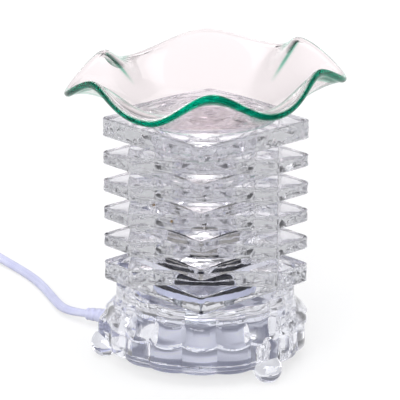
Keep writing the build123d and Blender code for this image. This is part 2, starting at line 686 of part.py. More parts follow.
# From the strain relief along the floor and up into the dimmer
lead_points = [as_tuple(relief_end), as_tuple(relief_end + exit_direction * LEAD_FIRST_RUN)]
lead_points += LEAD_POINTS
lead_points.append(as_tuple(dimmer_entry - dimmer_axis * DIMMER_CORD_RUN))
lead_points.append(as_tuple(dimmer_entry + dimmer_axis * DIMMER_CORD_GRIP))
lead_radii = run_radii(lead_points)
print("lead radii", [round(radius, 1) for radius in lead_radii])
with BuildPart() as cord_lead:
    with BuildLine() as lead_route:
        FilletPolyline(*lead_points, radius=lead_radii)
    with BuildSketch(Plane(origin=relief_end, x_dir=exit_plane.x_dir, z_dir=exit_direction)):
        RegularPolygon(CORD_RADIUS, CORD_SIDES)
    sweep()
say_volume("cord_lead", cord_lead, lead_route, CORD_SIDES)
cord_lead.part.label = "cord_lead"
export_step(cord_lead.part, "parts/cord_lead.step")

# Coil: biarcs between half-turn stations of two stacked spirals
coil_inner_radius = COIL_OUTER_RADIUS - COIL_PITCH * COIL_INWARD_HALF_TURNS / 2
coil_low = TIE_THICKNESS + 2 * TIE_GAP + CORD_RADIUS
coil_high = coil_low + COIL_LAYER_STEP
stations = []
for half_turn in range(COIL_INWARD_HALF_TURNS + COIL_OUTWARD_HALF_TURNS + 2):
    angle = COIL_START_ANGLE + 180 * half_turn
    outward = half_turn - COIL_INWARD_HALF_TURNS - 1
    rate = COIL_PITCH / (2 * math.pi)
    if outward < 0:
        radius = COIL_OUTER_RADIUS - COIL_PITCH * half_turn / 2
        rate = -rate / 2 if outward == -1 else -rate
        height = coil_low
    else:
        radius = coil_inner_radius + COIL_PITCH * outward / 2
        rate = rate / 2 if outward == 0 else rate
        height = coil_high
    turn = math.radians(angle)
    spoke = Vector(math.cos(turn), math.sin(turn), 0)
    along = Vector(-math.sin(turn), math.cos(turn), 0)
    place = Vector(*COIL_CENTRE, height) + spoke * radius
    stations.append((place, (along * radius + spoke * rate).normalized()))
coil_start = stations[0][0] - stations[0][1] * (2 * CORD_RADIUS)
coil_end = stations[-1][0] + stations[-1][1] * COIL_END_RUN
with BuildPart() as cord_coil:
    with BuildLine() as coil_route:
        Line(coil_start, stations[0][0])
        for (here, leaving), (there, arriving) in zip(stations, stations[1:]):
            chord = there - here
            lean = 2 * (1 - leaving.dot(arriving))
            pull = chord.dot(leaving + arriving)
            reach = (math.sqrt(pull**2 + lean * chord.dot(chord)) - pull) / lean
            joint = (here + there + (leaving - arriving) * reach) * 0.5
            bend = TangentArc(here, joint, tangent=leaving)
            TangentArc(joint, there, tangent=bend % 1)
        Line(stations[-1][0], coil_end)
    with BuildSketch(Plane(origin=coil_start, x_dir=(0, 0, 1), z_dir=stations[0][1])):
        RegularPolygon(CORD_RADIUS, COIL_SIDES)
    sweep()
coil_length = coil_route.wire().length
say_volume("cord_coil", cord_coil, coil_route, COIL_SIDES)
sample_step = CORD_RADIUS
sample_count = int(coil_length / sample_step)
samples = [coil_route.wire().position_at(index / sample_count) for index in range(sample_count + 1)]
apart = int(4 * math.pi * CORD_RADIUS / sample_step)
least = min(
    (samples[first] - samples[second]).length
    for first in range(len(samples))
    for second in range(first + apart, len(samples))
)
print("coil least gap to itself", round(least - 2 * CORD_RADIUS, 2))
cord_coil.part.label = "cord_coil"
export_step(cord_coil.part, "parts/cord_coil.step")

# From the dimmer down to the floor and into the coil
tail_points = [
    as_tuple(dimmer_exit - dimmer_axis * DIMMER_CORD_GRIP),
    as_tuple(dimmer_exit + dimmer_axis * DIMMER_CORD_RUN),
]
tail_points += TAIL_POINTS
tail_points.append(as_tuple(coil_start - stations[0][1] * TAIL_LAST_RUN))
tail_points.append(as_tuple(coil_start))
tail_radii = run_radii(tail_points)
print("tail radii", [round(radius, 1) for radius in tail_radii])
with BuildPart() as cord_tail:
    with BuildLine() as tail_route:
        FilletPolyline(*tail_points, radius=tail_radii)
    with BuildSketch(Plane(origin=tail_points[0], x_dir=(0, 0, 1), z_dir=dimmer_axis)):
        RegularPolygon(CORD_RADIUS, CORD_SIDES)
    sweep()
say_volume("cord_tail", cord_tail, tail_route, CORD_SIDES)
cord_tail.part.label = "cord_tail"
export_step(cord_tail.part, "parts/cord_tail.step")

# Strap round all the turns of the coil
tie_turn = math.radians(TIE_ANGLE)
tie_spoke = Vector(math.cos(tie_turn), math.sin(tie_turn), 0)
tie_inside = coil_inner_radius - CORD_RADIUS - TIE_SIDE_GAP
tie_outside = COIL_OUTER_RADIUS + CORD_RADIUS + TIE_SIDE_GAP
tie_low = TIE_THICKNESS + TIE_GAP
tie_high = coil_high + CORD_RADIUS + TIE_GAP
tie_middle = Vector(*COIL_CENTRE, (tie_low + tie_high) / 2) + tie_spoke * ((tie_inside + tie_outside) / 2)
with BuildPart() as cord_tie:
    with BuildSketch(Plane(origin=tie_middle, x_dir=tie_spoke, z_dir=tie_spoke.cross(Vector(0, 0, 1)))):
        tie_span = tie_outside - tie_inside
        tie_rise = tie_high - tie_low
        RectangleRounded(
            tie_span + 2 * TIE_THICKNESS, tie_rise + 2 * TIE_THICKNESS, CORD_RADIUS / 2 + TIE_THICKNESS
        )
        RectangleRounded(tie_span, tie_rise, CORD_RADIUS / 2, mode=Mode.SUBTRACT)
    extrude(amount=TIE_WIDTH / 2, both=True)
cord_tie.part.label = "cord_tie"
export_step(cord_tie.part, "parts/cord_tie.step")

# Dimmer: two moulded half shells, parted at the height of the lead
dimmer_floor = Plane(origin=Vector(*DIMMER_CENTRE, 0), x_dir=dimmer_axis, z_dir=(0, 0, 1))
parting = DIMMER_HEIGHT / 2
inside_length = DIMMER_LENGTH - 2 * DIMMER_WALL
inside_width = DIMMER_WIDTH - 2 * DIMMER_WALL
inside_corner = DIMMER_CORNER_RADIUS - DIMMER_WALL
grip_radius = CORD_RADIUS + DIMMER_CORD_CLEARANCE
axle_reach = WHEEL_WIDTH / 2 + WHEEL_GAP
cord_plane = Plane(origin=dimmer_entry, x_dir=dimmer_axis.cross(Vector(0, 0, 1)), z_dir=dimmer_axis)
across_plane = Plane(
    origin=Vector(*DIMMER_CENTRE, WHEEL_AXLE_HEIGHT), x_dir=dimmer_axis, z_dir=dimmer_axis.cross(Vector(0, 0, 1))
)
with BuildPart() as dimmer_lower_shell:
    with BuildSketch(dimmer_floor):
        RectangleRounded(DIMMER_LENGTH, DIMMER_WIDTH, DIMMER_CORNER_RADIUS)
    extrude(amount=parting)
    chamfer(dimmer_lower_shell.edges().group_by(Axis.Z)[0], DIMMER_EDGE_CHAMFER)
    with BuildSketch(dimmer_floor.offset(DIMMER_WALL)):
        RectangleRounded(inside_length, inside_width, inside_corner)
    extrude(amount=parting, mode=Mode.SUBTRACT)
    with BuildSketch(dimmer_floor.offset(DIMMER_WALL)):
        with Locations(*DIMMER_SCREW_PLACES):
            Circle(BOSS_RADIUS)
    extrude(amount=parting - DIMMER_WALL)
    with BuildSketch(dimmer_floor):
        with Locations(*DIMMER_SCREW_PLACES):
            Circle(DIMMER_SCREW_HEAD_RADIUS + SCREW_CLEARANCE)
    extrude(amount=DIMMER_SCREW_RECESS, mode=Mode.SUBTRACT)
    with BuildSketch(dimmer_floor):
        with Locations(*DIMMER_SCREW_PLACES):
            Circle(DIMMER_SCREW_RADIUS + SCREW_CLEARANCE)
    extrude(amount=parting, mode=Mode.SUBTRACT)
    with BuildSketch(cord_plane):
        Circle(grip_radius)
    extrude(amount=DIMMER_LENGTH, mode=Mode.SUBTRACT)
    with BuildSketch(dimmer_floor.offset(DIMMER_WALL)):
        with Locations((0, axle_reach + AXLE_BEARING_LENGTH / 2)):
            Rectangle(POST_WIDTH, AXLE_BEARING_LENGTH)
    extrude(amount=WHEEL_AXLE_HEIGHT + POST_WIDTH / 2 - DIMMER_WALL)
    with BuildSketch(across_plane):
        Circle(WHEEL_AXLE_RADIUS + AXLE_CLEARANCE)
    extrude(amount=DIMMER_WIDTH / 2 - DIMMER_WALL, both=True, mode=Mode.SUBTRACT)
dimmer_lower_shell.part.label = "dimmer_lower_shell"
export_step(dimmer_lower_shell.part, "parts/dimmer_lower_shell.step")

wheel_slot_height = DIMMER_HEIGHT - DIMMER_WALL - WHEEL_AXLE_HEIGHT
wheel_slot_half = math.sqrt(WHEEL_RADIUS**2 - wheel_slot_height**2) + WHEEL_GAP
with BuildPart() as dimmer_upper_shell:
    with BuildSketch(dimmer_floor.offset(parting)):
        RectangleRounded(DIMMER_LENGTH, DIMMER_WIDTH, DIMMER_CORNER_RADIUS)
    extrude(amount=parting)
    chamfer(dimmer_upper_shell.edges().group_by(Axis.Z)[-1], DIMMER_EDGE_CHAMFER)
    with BuildSketch(dimmer_floor.offset(parting)):
        RectangleRounded(inside_length, inside_width, inside_corner)
    extrude(amount=parting - DIMMER_WALL, mode=Mode.SUBTRACT)
    with BuildSketch(dimmer_floor.offset(parting)):
        with Locations(*DIMMER_SCREW_PLACES):
            Circle(BOSS_RADIUS)
    extrude(amount=parting - DIMMER_WALL)
    with BuildSketch(dimmer_floor.offset(parting)):
        with Locations(*DIMMER_SCREW_PLACES):
            Circle(DIMMER_SCREW_RADIUS + THREAD_CLEARANCE)
    extrude(amount=parting - DIMMER_WALL, mode=Mode.SUBTRACT)
    with BuildSketch(cord_plane):
        Circle(grip_radius)
    extrude(amount=DIMMER_LENGTH, mode=Mode.SUBTRACT)
    with BuildSketch(dimmer_floor.offset(parting)):
        Rectangle(2 * wheel_slot_half, WHEEL_WIDTH + 2 * WHEEL_GAP)
    extrude(amount=DIMMER_HEIGHT, mode=Mode.SUBTRACT)
dimmer_upper_shell.part.label = "dimmer_upper_shell"
export_step(dimmer_upper_shell.part, "parts/dimmer_upper_shell.step")

# Thumbwheel with a notched edge, on an axle from its post to the potentiometer
with BuildPart() as dimmer_wheel:
    with BuildSketch(across_plane):
        Circle(WHEEL_RADIUS)
        with PolarLocations(WHEEL_RADIUS, WHEEL_GRIP_COUNT):
            RegularPolygon(WHEEL_GRIP_RADIUS, 4, mode=Mode.SUBTRACT)
    extrude(amount=WHEEL_WIDTH / 2, both=True)
    with BuildSketch(across_plane):
        Circle(WHEEL_AXLE_RADIUS)
    extrude(amount=axle_reach + AXLE_BEARING_LENGTH, both=True)
dimmer_wheel.part.label = "dimmer_wheel"
export_step(dimmer_wheel.part, "parts/dimmer_wheel.step")

# Potentiometer that stands on the lower shell and takes the other end of the axle
with BuildPart() as dimmer_potentiometer:
    with BuildSketch(dimmer_floor.offset(DIMMER_WALL)):
        with Locations((0, -axle_reach - POTENTIOMETER_DEPTH / 2)):
            Rectangle(POTENTIOMETER_WIDTH, POTENTIOMETER_DEPTH)
    extrude(amount=POTENTIOMETER_HEIGHT)
    with BuildSketch(across_plane.offset(axle_reach)):
        Circle(WHEEL_AXLE_RADIUS + AXLE_CLEARANCE)
    extrude(amount=AXLE_BEARING_LENGTH + WHEEL_GAP, mode=Mode.SUBTRACT)
dimmer_potentiometer.part.label = "dimmer_potentiometer"
export_step(dimmer_potentiometer.part, "parts/dimmer_potentiometer.step")

# Circuit board on the floor of the lower shell
with BuildPart() as dimmer_board:
    with BuildSketch(dimmer_floor.offset(DIMMER_WALL)):
        with Locations(BOARD_PLACE):
            Rectangle(BOARD_LENGTH, BOARD_WIDTH)
    extrude(amount=BOARD_THICKNESS)
dimmer_board.part.label = "dimmer_board"
export_step(dimmer_board.part, "parts/dimmer_board.step")

# Screws that hold the shells together from below
screw_length = DIMMER_HEIGHT - DIMMER_WALL - DIMMER_SCREW_TIP_GAP - DIMMER_SCREW_RECESS
with BuildPart() as dimmer_screws:
    with BuildSketch(dimmer_floor.offset(DIMMER_SCREW_RECESS)):
        with Locations(*DIMMER_SCREW_PLACES):
            Circle(DIMMER_SCREW_RADIUS)
    extrude(amount=screw_length)
    with BuildSketch(dimmer_floor.offset(DIMMER_SCREW_RECESS - DIMMER_SCREW_HEAD_HEIGHT)):
        with Locations(*DIMMER_SCREW_PLACES):
            Circle(DIMMER_SCREW_HEAD_RADIUS)
    extrude(amount=DIMMER_SCREW_HEAD_HEIGHT)
dimmer_screws.part.label = "dimmer_screws"
export_step(dimmer_screws.part, "parts/dimmer_screws.step")

# Plug: a tapered boot on the lead, then a body that widens to the blades' face
plug_axis = stations[-1][1]
plug_thickness = 2 * (coil_high - PLUG_FLOOR_GAP)
plug_side = plug_axis.cross(Vector(0, 0, 1))
boot_plane = Plane(origin=coil_end, x_dir=plug_side, z_dir=plug_axis)
boot_tip = CORD_RADIUS + PLUG_BOOT_WALL
with BuildPart() as plug_body:
    with BuildSketch(boot_plane):
        Circle(boot_tip)
    with BuildSketch(boot_plane.offset(PLUG_BOOT_LENGTH)):
        Circle(boot_tip + PLUG_BOOT_FLARE)
    loft(ruled=True)
    with BuildSketch(boot_plane.offset(PLUG_BOOT_LENGTH)):
        RectangleRounded(PLUG_REAR_WIDTH, PLUG_REAR_THICKNESS, PLUG_EDGE_RADIUS)
    with BuildSketch(boot_plane.offset(PLUG_BOOT_LENGTH + PLUG_LENGTH)):
        RectangleRounded(PLUG_WIDTH, plug_thickness, PLUG_EDGE_RADIUS)
    loft(ruled=True)
    with BuildSketch(boot_plane.offset(PLUG_BOOT_LENGTH + PLUG_LENGTH - BLADE_EMBED)):
        with Locations((BLADE_SPACING / 2, 0), (-BLADE_SPACING / 2, 0)):
            Rectangle(BLADE_THICKNESS, BLADE_WIDTH)
    extrude(amount=BLADE_EMBED, mode=Mode.SUBTRACT)
plug_body.part.label = "plug_body"
export_step(plug_body.part, "parts/plug_body.step")

with BuildPart() as plug_blades:
    with BuildSketch(boot_plane.offset(PLUG_BOOT_LENGTH + PLUG_LENGTH - BLADE_EMBED)):
        with Locations((BLADE_SPACING / 2, 0), (-BLADE_SPACING / 2, 0)):
            Rectangle(BLADE_THICKNESS, BLADE_WIDTH)
    extrude(amount=BLADE_EMBED + BLADE_LENGTH)
plug_blades.part.label = "plug_blades"
export_step(plug_blades.part, "parts/plug_blades.step")
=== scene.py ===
# %% [markdown]
# # A wax melt warmer in clear glass
# An electric warmer: a fluted glass dish stands on a tower of glass tiles, a small lamp in the tower's
# bore warms the dish from below, and a pressed glass base on three ball feet hides the wiring.
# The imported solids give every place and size. This lesson dresses them: glass gets soft, slightly
# uneven surfaces, the lead becomes a real twin cable, and each hidden piece gets its own finish.
# Lengths below are in millimetres and are turned to metres once, where a mesh is made.

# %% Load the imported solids
import math

import bpy
import numpy as np
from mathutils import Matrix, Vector


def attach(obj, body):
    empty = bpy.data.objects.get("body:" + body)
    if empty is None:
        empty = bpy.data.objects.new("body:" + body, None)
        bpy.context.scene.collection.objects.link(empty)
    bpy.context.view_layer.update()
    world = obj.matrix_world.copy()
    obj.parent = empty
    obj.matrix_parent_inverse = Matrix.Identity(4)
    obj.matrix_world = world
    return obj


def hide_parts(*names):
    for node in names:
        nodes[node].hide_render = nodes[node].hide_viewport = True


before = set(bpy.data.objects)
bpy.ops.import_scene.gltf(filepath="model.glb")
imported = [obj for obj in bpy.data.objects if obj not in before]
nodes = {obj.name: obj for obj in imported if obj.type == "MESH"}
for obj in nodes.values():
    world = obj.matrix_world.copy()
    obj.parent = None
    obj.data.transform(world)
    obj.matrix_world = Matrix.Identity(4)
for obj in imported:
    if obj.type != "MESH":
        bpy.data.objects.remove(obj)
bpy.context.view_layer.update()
scene = bpy.context.scene
MM = 0.001

# %% [markdown]
# ## Camera
# The photograph was taken from a little above, with a long lens, so verticals stay nearly parallel.
# The tower's two edges, its tile heights and the dish's rim fix the distance, height and lens.
# A short lens from close by could frame the warmer too, but it would make the front of each tile much
# larger than its back. The photograph shows little of that, so a long lens stands one metre away.

# %% Camera
CAMERA_PLACE = Vector((40.245, -1003.357, 400.481)) * MM
CAMERA_AIM = Vector((-2.640, 0.960, 74.302)) * MM
SENSOR_WIDTH = 36.0
LENS = 205.0
camera = bpy.data.objects.new("camera", bpy.data.cameras.new("camera"))
scene.collection.objects.link(camera)
camera.data.sensor_width = SENSOR_WIDTH
camera.data.lens = LENS
camera.location = CAMERA_PLACE
camera.rotation_euler = (CAMERA_AIM - CAMERA_PLACE).to_track_quat("-Z", "Y").to_euler()
scene.camera = camera
print("camera:", round((CAMERA_AIM - CAMERA_PLACE).length, 3), "m away,", LENS, "mm lens")

# %% [markdown]
# ## Surfaces from grids
# Every new piece is a grid of points: rows run along the shape and columns run round it.
# Four neighbours make one face. Where a row shrinks to a point, a fan of triangles closes the pole.
# Primitives and modifiers could give some of these shapes, but a turned shape, a carried cable
# section and a wavy dish are all the same kind of thing as grids, and numpy works out all their
# points at once.


# %% Grid helpers
def weave(points, close_rows=False, start_pole=False, end_pole=False):
    """Faces over a grid whose columns close: each face joins (row, column) to the next column and row.

    A pole is the mean of the first or last row, joined to it by triangles.
    Faces come as arrays of point numbers: the quads, then the triangles of each pole.
    Columns that turn anticlockwise about the row direction give faces that point outwards.
    """
    rows, columns = points.shape[:2]
    index = np.arange(rows * columns).reshape(rows, columns)
    index = np.hstack([index, index[:, :1]])
    if close_rows:
        index = np.vstack([index, index[:1]])
    quads = np.stack([index[:-1, :-1], index[:-1, 1:], index[1:, 1:], index[1:, :-1]], axis=-1)
    vertices = points.reshape(-1, 3)
    faces = [quads.reshape(-1, 4)]
    if start_pole:
        vertices = np.vstack([vertices, points[0].mean(axis=0)])
        pole = np.full(columns, len(vertices) - 1)
        faces.append(np.stack([pole, index[0, 1:], index[0, :-1]], axis=-1))
    if end_pole:
        vertices = np.vstack([vertices, points[-1].mean(axis=0)])
        pole = np.full(columns, len(vertices) - 1)
        faces.append(np.stack([pole, index[rows - 1, :-1], index[rows - 1, 1:]], axis=-1))
    return vertices, faces


def turn(profile, angles, axis_place=(0.0, 0.0)):
    """Turned shape: each profile point (radius, height) goes round the axis through all angles.

    A radius or a height may be one number, or one for each angle.
    """
    radii = np.array([np.broadcast_to(radius, angles.shape) for radius, _ in profile])
    heights = np.array([np.broadcast_to(height, angles.shape) for _, height in profile])
    x = axis_place[0] + radii * np.cos(angles)
    y = axis_place[1] + radii * np.sin(angles)
    return np.stack([x, y, heights], axis=-1)


# %% Mesh and piece helpers
def make_mesh(name, shells, crease=30.0):
    """One mesh in metres from shells of vertices and faces in millimetres, smooth but for its creases."""
    vertices = np.vstack([points for points, _ in shells])
    starts = np.cumsum([0] + [len(points) for points, _ in shells])
    faces = []
    for start, (_, parts) in zip(starts, shells):
        for part in parts:
            faces += (part + start).tolist()
    mesh = bpy.data.meshes.new(name)
    mesh.from_pydata(vertices * MM, [], faces)
    mesh.validate()
    mesh.shade_smooth()
    mesh.set_sharp_from_angle(angle=math.radians(crease))
    return mesh


def add_piece(name, mesh, finish, body, slot, *stands_for):
    """Hang a finished mesh in the scene, on its body, in place of the solids that it stands for."""
    made = bpy.data.objects.new(name, mesh)
    scene.collection.objects.link(made)
    for coat in finish if isinstance(finish, list) else [finish]:
        mesh.materials.append(coat)
    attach(made, body)
    if stands_for:
        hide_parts(*stands_for)
    print(name, "has", len(mesh.vertices), "points and", len(mesh.polygons), "faces")
    return made


def full_turn(count):
    """Angles of evenly spaced columns round one whole turn."""
    return np.arange(count) * 2 * np.pi / count


# %% [markdown]
# ## Finishes from nodes
# Colours are written as screen colours in hex and turned to linear light once.
# One helper adds a node with its settings and links. Everything that is the same all over a surface
# is set on the shader itself.


# %% Finish helpers
def linear(code):
    """Screen colour in hex to linear light: the usual sRGB curve, channel by channel."""
    screen = np.array([int(code[place : place + 2], 16) for place in (1, 3, 5)]) / 255
    light = np.where(screen <= 0.04045, screen / 12.92, ((screen + 0.055) / 1.055) ** 2.4)
    return (*light.tolist(), 1.0)


def add_node(tree, kind, values=None, links=None, **settings):
    """Add one node: its own settings, the values of its free inputs, and links into its inputs."""
    node = tree.nodes.new(kind)
    for name, value in settings.items():
        setattr(node, name, value)
    for name, value in (values or {}).items():
        node.inputs[name].default_value = value
    for name, source in (links or {}).items():
        tree.links.new(source, node.inputs[name])
    return node


def new_finish(name, values):
    """An empty finish: its node tree and its shader, with the plain values set on the shader."""
    finish = bpy.data.materials.new(name)
    finish.use_nodes = True
    shader = finish.node_tree.nodes["Principled BSDF"]
    for socket, value in values.items():
        shader.inputs[socket].default_value = value
    return finish, finish.node_tree, shader


# %% [markdown]
# ## Soft white lead
# The lead is a twin flex: two insulated wires side by side in one white PVC skin, with a groove
# between them. PVC for flex is soft and slightly blue-white, with a satin surface from the extruder.
# A faint mottling of the skin and a fine grain keep it from looking like plain paint.

# %% Finish of the lead
flex_pvc, tree, shader = new_finish(
    "extruded_flex_pvc",
    {
        "Roughness": 0.38,
        "IOR": 1.53,
        "Subsurface Weight": 0.12,
        "Subsurface Radius": (0.9 * MM, 0.9 * MM, 1.1 * MM),
    },
)
place = add_node(tree, "ShaderNodeTexCoord")
mottle = add_node(
    tree, "ShaderNodeTexNoise", {"Scale": 1 / (6 * MM), "Detail": 3.0}, {"Vector": place.outputs["Object"]}
)
shade = add_node(tree, "ShaderNodeValToRGB", links={"Fac": mottle.outputs["Fac"]})
shade.color_ramp.elements[0].color = linear("#C6C8E8")
shade.color_ramp.elements[1].color = linear("#DADCF2")
tree.links.new(shade.outputs["Color"], shader.inputs["Base Color"])
grain = add_node(
    tree, "ShaderNodeTexNoise", {"Scale": 1 / (0.9 * MM), "Detail": 2.0}, {"Vector": place.outputs["Object"]}
)
relief = add_node(
    tree, "ShaderNodeBump", {"Strength": 0.15, "Distance": 0.15 * MM}, {"Height": grain.outputs["Fac"]}
)
tree.links.new(relief.outputs["Normal"], shader.inputs["Normal"])
print("finish:", flex_pvc.name)

# %% [markdown]
# ## Route of the lead
# The lead leaves a ribbed strain relief at the back of the base, curves off to the left along the
# table, and passes an in-line dimmer. The rest, which the photograph doesn't show, is put away in a
# tied coil that ends in the plug. A bevelled curve could draw a round cable, but not a twin one that
# rolls. So each stretch's points are the control points of a smooth spline, and the cable's section is
# carried along points read from that spline.
# A flat twin cable lies on its broad side, but coils on its narrow side, so its section rolls a
# quarter turn on the way into the coil.


# %% Cable helpers
UP = np.array([0.0, 0.0, 1.0])


def read_spline(points):
    """Points along the smooth spline that has the given control points, in millimetres."""
    curve = bpy.data.curves.new("route", "CURVE")
    curve.dimensions = "3D"
    spline = curve.splines.new("NURBS")
    spline.points.add(len(points) - 1)
    control = np.column_stack([np.array(points) * MM, np.ones(len(points))])
    spline.points.foreach_set("co", control.ravel())
    spline.order_u = 3
    spline.use_endpoint_u = True
    spline.resolution_u = 10
    holder = bpy.data.objects.new("route", curve)
    line = bpy.data.meshes.new_from_object(holder)
    found = np.empty(len(line.vertices) * 3)
    line.vertices.foreach_get("co", found)
    bpy.data.objects.remove(holder)
    bpy.data.curves.remove(curve)
    bpy.data.meshes.remove(line)
    return found.reshape(-1, 3) / MM


def carry(section, line, roll):
    """Section carried along a line: each point is the line's point plus side and lift times the section.

    Side is the line's direction crossed with up, lift is side crossed with the direction,
    and roll turns the section about the line, in radians, with one value for each point.
    """
    ahead = np.gradient(line, axis=0)
    ahead /= np.linalg.norm(ahead, axis=1, keepdims=True)
    side = np.cross(ahead, UP)
    side /= np.linalg.norm(side, axis=1, keepdims=True)
    lift = np.cross(side, ahead)
    roll = roll[:, None]
    wide = side * np.cos(roll) + lift * np.sin(roll)
    high = lift * np.cos(roll) - side * np.sin(roll)
    return line[:, None] + wide[:, None] * section[None, :, :1] + high[:, None] * section[None, :, 1:]


# %% Section of the twin cable
WIRE_SKIN_RADIUS = 1.4
WIRE_OFFSET = 0.9
LOBE_POINTS = 12
# Two circles that overlap: each lobe runs from the groove on one side to the groove on the other.
groove_angle = math.acos(-WIRE_OFFSET / WIRE_SKIN_RADIUS)
lobe = np.linspace(groove_angle, -groove_angle, LOBE_POINTS, endpoint=False)
lobe_circle = WIRE_SKIN_RADIUS * np.stack([np.cos(lobe), np.sin(lobe)], axis=-1)
right_lobe = lobe_circle + [WIRE_OFFSET, 0.0]
twin_section = np.vstack([right_lobe, -right_lobe])

# %% Lead from the strain relief to the dimmer
lead_route = [
    (-58.822, 33.961, 4.513),
    (-65.724, 37.946, 3.816),
    (-71.9, 44.75, 3.0),
    (-76.3, 54.8, 2.3),
    (-81.0, 66.9, 2.1),
    (-86.5, 79.8, 2.1),
    (-93.1, 92.2, 2.1),
    (-101.2, 104.2, 2.1),
    (-110.3, 115.5, 2.6),
    (-120.4, 126.0, 4.6),
    (-130.765, 133.723, 7.6),
    (-143.481, 136.426, 7.6),
]
lead_line = read_spline(lead_route)
# The lead lies a little twisted: between the boot and the dimmer it leans on one wire.
LEAN = math.radians(45.0)
lead_roll = LEAN * np.sin(np.pi * np.linspace(0, 1, len(lead_line))) ** 0.5
lead_points = carry(twin_section, lead_line, lead_roll)
lead_mesh = make_mesh("lead_flex", [weave(lead_points, start_pole=True, end_pole=True)])
lead_flex = add_piece("lead_flex", lead_mesh, flex_pvc, "tower", "lead_pvc", "cord_lead")

# %% Route of the tail and the coil
COIL_CENTRE = np.array([-190.7, 88.0])
COIL_OUTER_RADIUS = 35.9
COIL_PITCH = 5.8
COIL_LOW = 3.3
COIL_HIGH = 8.9
POINTS_EACH_TURN = 14
tail_route = [
    (-186.519, 145.574, 7.6),
    (-199.235, 148.277, 7.6),
    (-210.4, 145.9, 6.2),
    (-219.6, 139.0, 4.9),
    (-225.0, 128.8, 3.9),
    (-226.4, 117.0, 3.3),
    (-227.014, 104.09, 3.3),
]
# Half turns counted from the coil's start: six spiral in below, one climbs, five spiral out above.
HALF_TURNS_IN = 6
HALF_TURNS_UP = 1
HALF_TURNS_OUT = 5
climbed = HALF_TURNS_IN + HALF_TURNS_UP
coil_count = (climbed + HALF_TURNS_OUT) * POINTS_EACH_TURN // 2 + 1
half_turns = np.arange(coil_count) * 2 / POINTS_EACH_TURN
inward = COIL_OUTER_RADIUS - COIL_PITCH * np.minimum(half_turns, HALF_TURNS_IN) / 2
outward = COIL_PITCH * np.maximum(half_turns - climbed, 0) / 2
coil_radii = inward + outward
climb = np.clip((half_turns - HALF_TURNS_IN) / HALF_TURNS_UP, 0, 1)
coil_heights = COIL_LOW + (COIL_HIGH - COIL_LOW) * climb
coil_angles = np.pi * (1 + half_turns)
coil_points = np.stack(
    [
        COIL_CENTRE[0] + coil_radii * np.cos(coil_angles),
        COIL_CENTRE[1] + coil_radii * np.sin(coil_angles),
        coil_heights,
    ],
    axis=-1,
)
plug_run = [(-223.95, 78.9, 8.9), (-224.315, 66.009, 8.9)]
put_away_route = tail_route + coil_points.tolist() + plug_run
print("route past the dimmer:", len(put_away_route), "control points")

# %% Cable along the tail and the coil
tail_line = read_spline(put_away_route)
walked = np.cumsum(np.linalg.norm(np.diff(tail_line, axis=0, prepend=tail_line[:1]), axis=1))
# The section rolls a quarter turn over the tail's length, with a soft start and stop.
TAIL_LENGTH = 83.4
rolled = np.clip(walked / TAIL_LENGTH, 0, 1)
tail_roll = np.pi / 2 * rolled * rolled * (3 - 2 * rolled)
tail_points = carry(twin_section, tail_line, tail_roll)
tail_mesh = make_mesh("coiled_flex", [weave(tail_points, start_pole=True, end_pole=True)])
coiled_flex = add_piece("coiled_flex", tail_mesh, flex_pvc, "tower", "lead_pvc", "cord_tail", "cord_coil")
lead_length = np.linalg.norm(np.diff(lead_line, axis=0), axis=1).sum()
print("lead:", round(lead_length, 1), "mm to the dimmer and", round(walked[-1], 1), "mm beyond it")

# %% [markdown]
# ## Strap round the coil
# A woven nylon strap with hook-and-loop faces holds the turns. It is one flat band round the whole
# bundle: a thin rounded section carried round a rounded rectangle that stands across the coil.
# The weave is drawn from two crossed waves with a thread every 1.38 mm, coarser than real webbing so
# that it shows.

# %% Finish of the strap
nylon_strap, tree, shader = new_finish("woven_nylon_strap", {"Roughness": 0.75, "Sheen Weight": 0.4})
THREAD = 1.38 * MM
# A wave texture repeats every tenth of pi at a scale of one.
WAVE_REPEAT = math.pi / 10
place = add_node(tree, "ShaderNodeTexCoord")
warp, weft = [
    add_node(
        tree,
        "ShaderNodeTexWave",
        {"Scale": WAVE_REPEAT / THREAD, "Distortion": 0.4},
        {"Vector": place.outputs["UV"]},
        bands_direction=direction,
    )
    for direction in "XY"
]
threads = add_node(
    tree, "ShaderNodeMath", links={0: warp.outputs["Fac"], 1: weft.outputs["Fac"]}, operation="MULTIPLY"
)
# The threads' backs are painted lighter, a painted highlight, and the gaps between them greyer, a painted
# shade.
shade = add_node(tree, "ShaderNodeValToRGB", links={"Fac": threads.outputs["Value"]})
shade.color_ramp.elements[0].color = linear("#B9BAC0")
shade.color_ramp.elements[1].color = linear("#E6E6EA")
tree.links.new(shade.outputs["Color"], shader.inputs["Base Color"])
relief = add_node(
    tree, "ShaderNodeBump", {"Strength": 0.6, "Distance": 0.2 * MM}, {"Height": threads.outputs["Value"]}
)
tree.links.new(relief.outputs["Normal"], shader.inputs["Normal"])
print("finish:", nylon_strap.name, "with a thread every", round(THREAD / MM, 2), "mm")

# %% Loop and section of the strap
STRAP_ANGLE = math.radians(-45.0)
STRAP_MIDDLE_RADIUS = 27.2
STRAP_HALF_REACH = 12.2
STRAP_MIDDLE_HEIGHT = 6.1
STRAP_HALF_HEIGHT = 5.6
STRAP_HALF_WIDTH = 4.0
STRAP_HALF_THICKNESS = 0.3
STRAP_ROWS = 160
BAND_COLUMNS = 16
LOOP_POWER = 0.25
BAND_POWER = 0.4


def rounded_square(angles, power):
    """Unit square with round corners: cosine and sine to a power below one, each keeping its sign."""
    circle = np.stack([np.cos(angles), np.sin(angles)])
    return np.sign(circle) * np.abs(circle) ** power


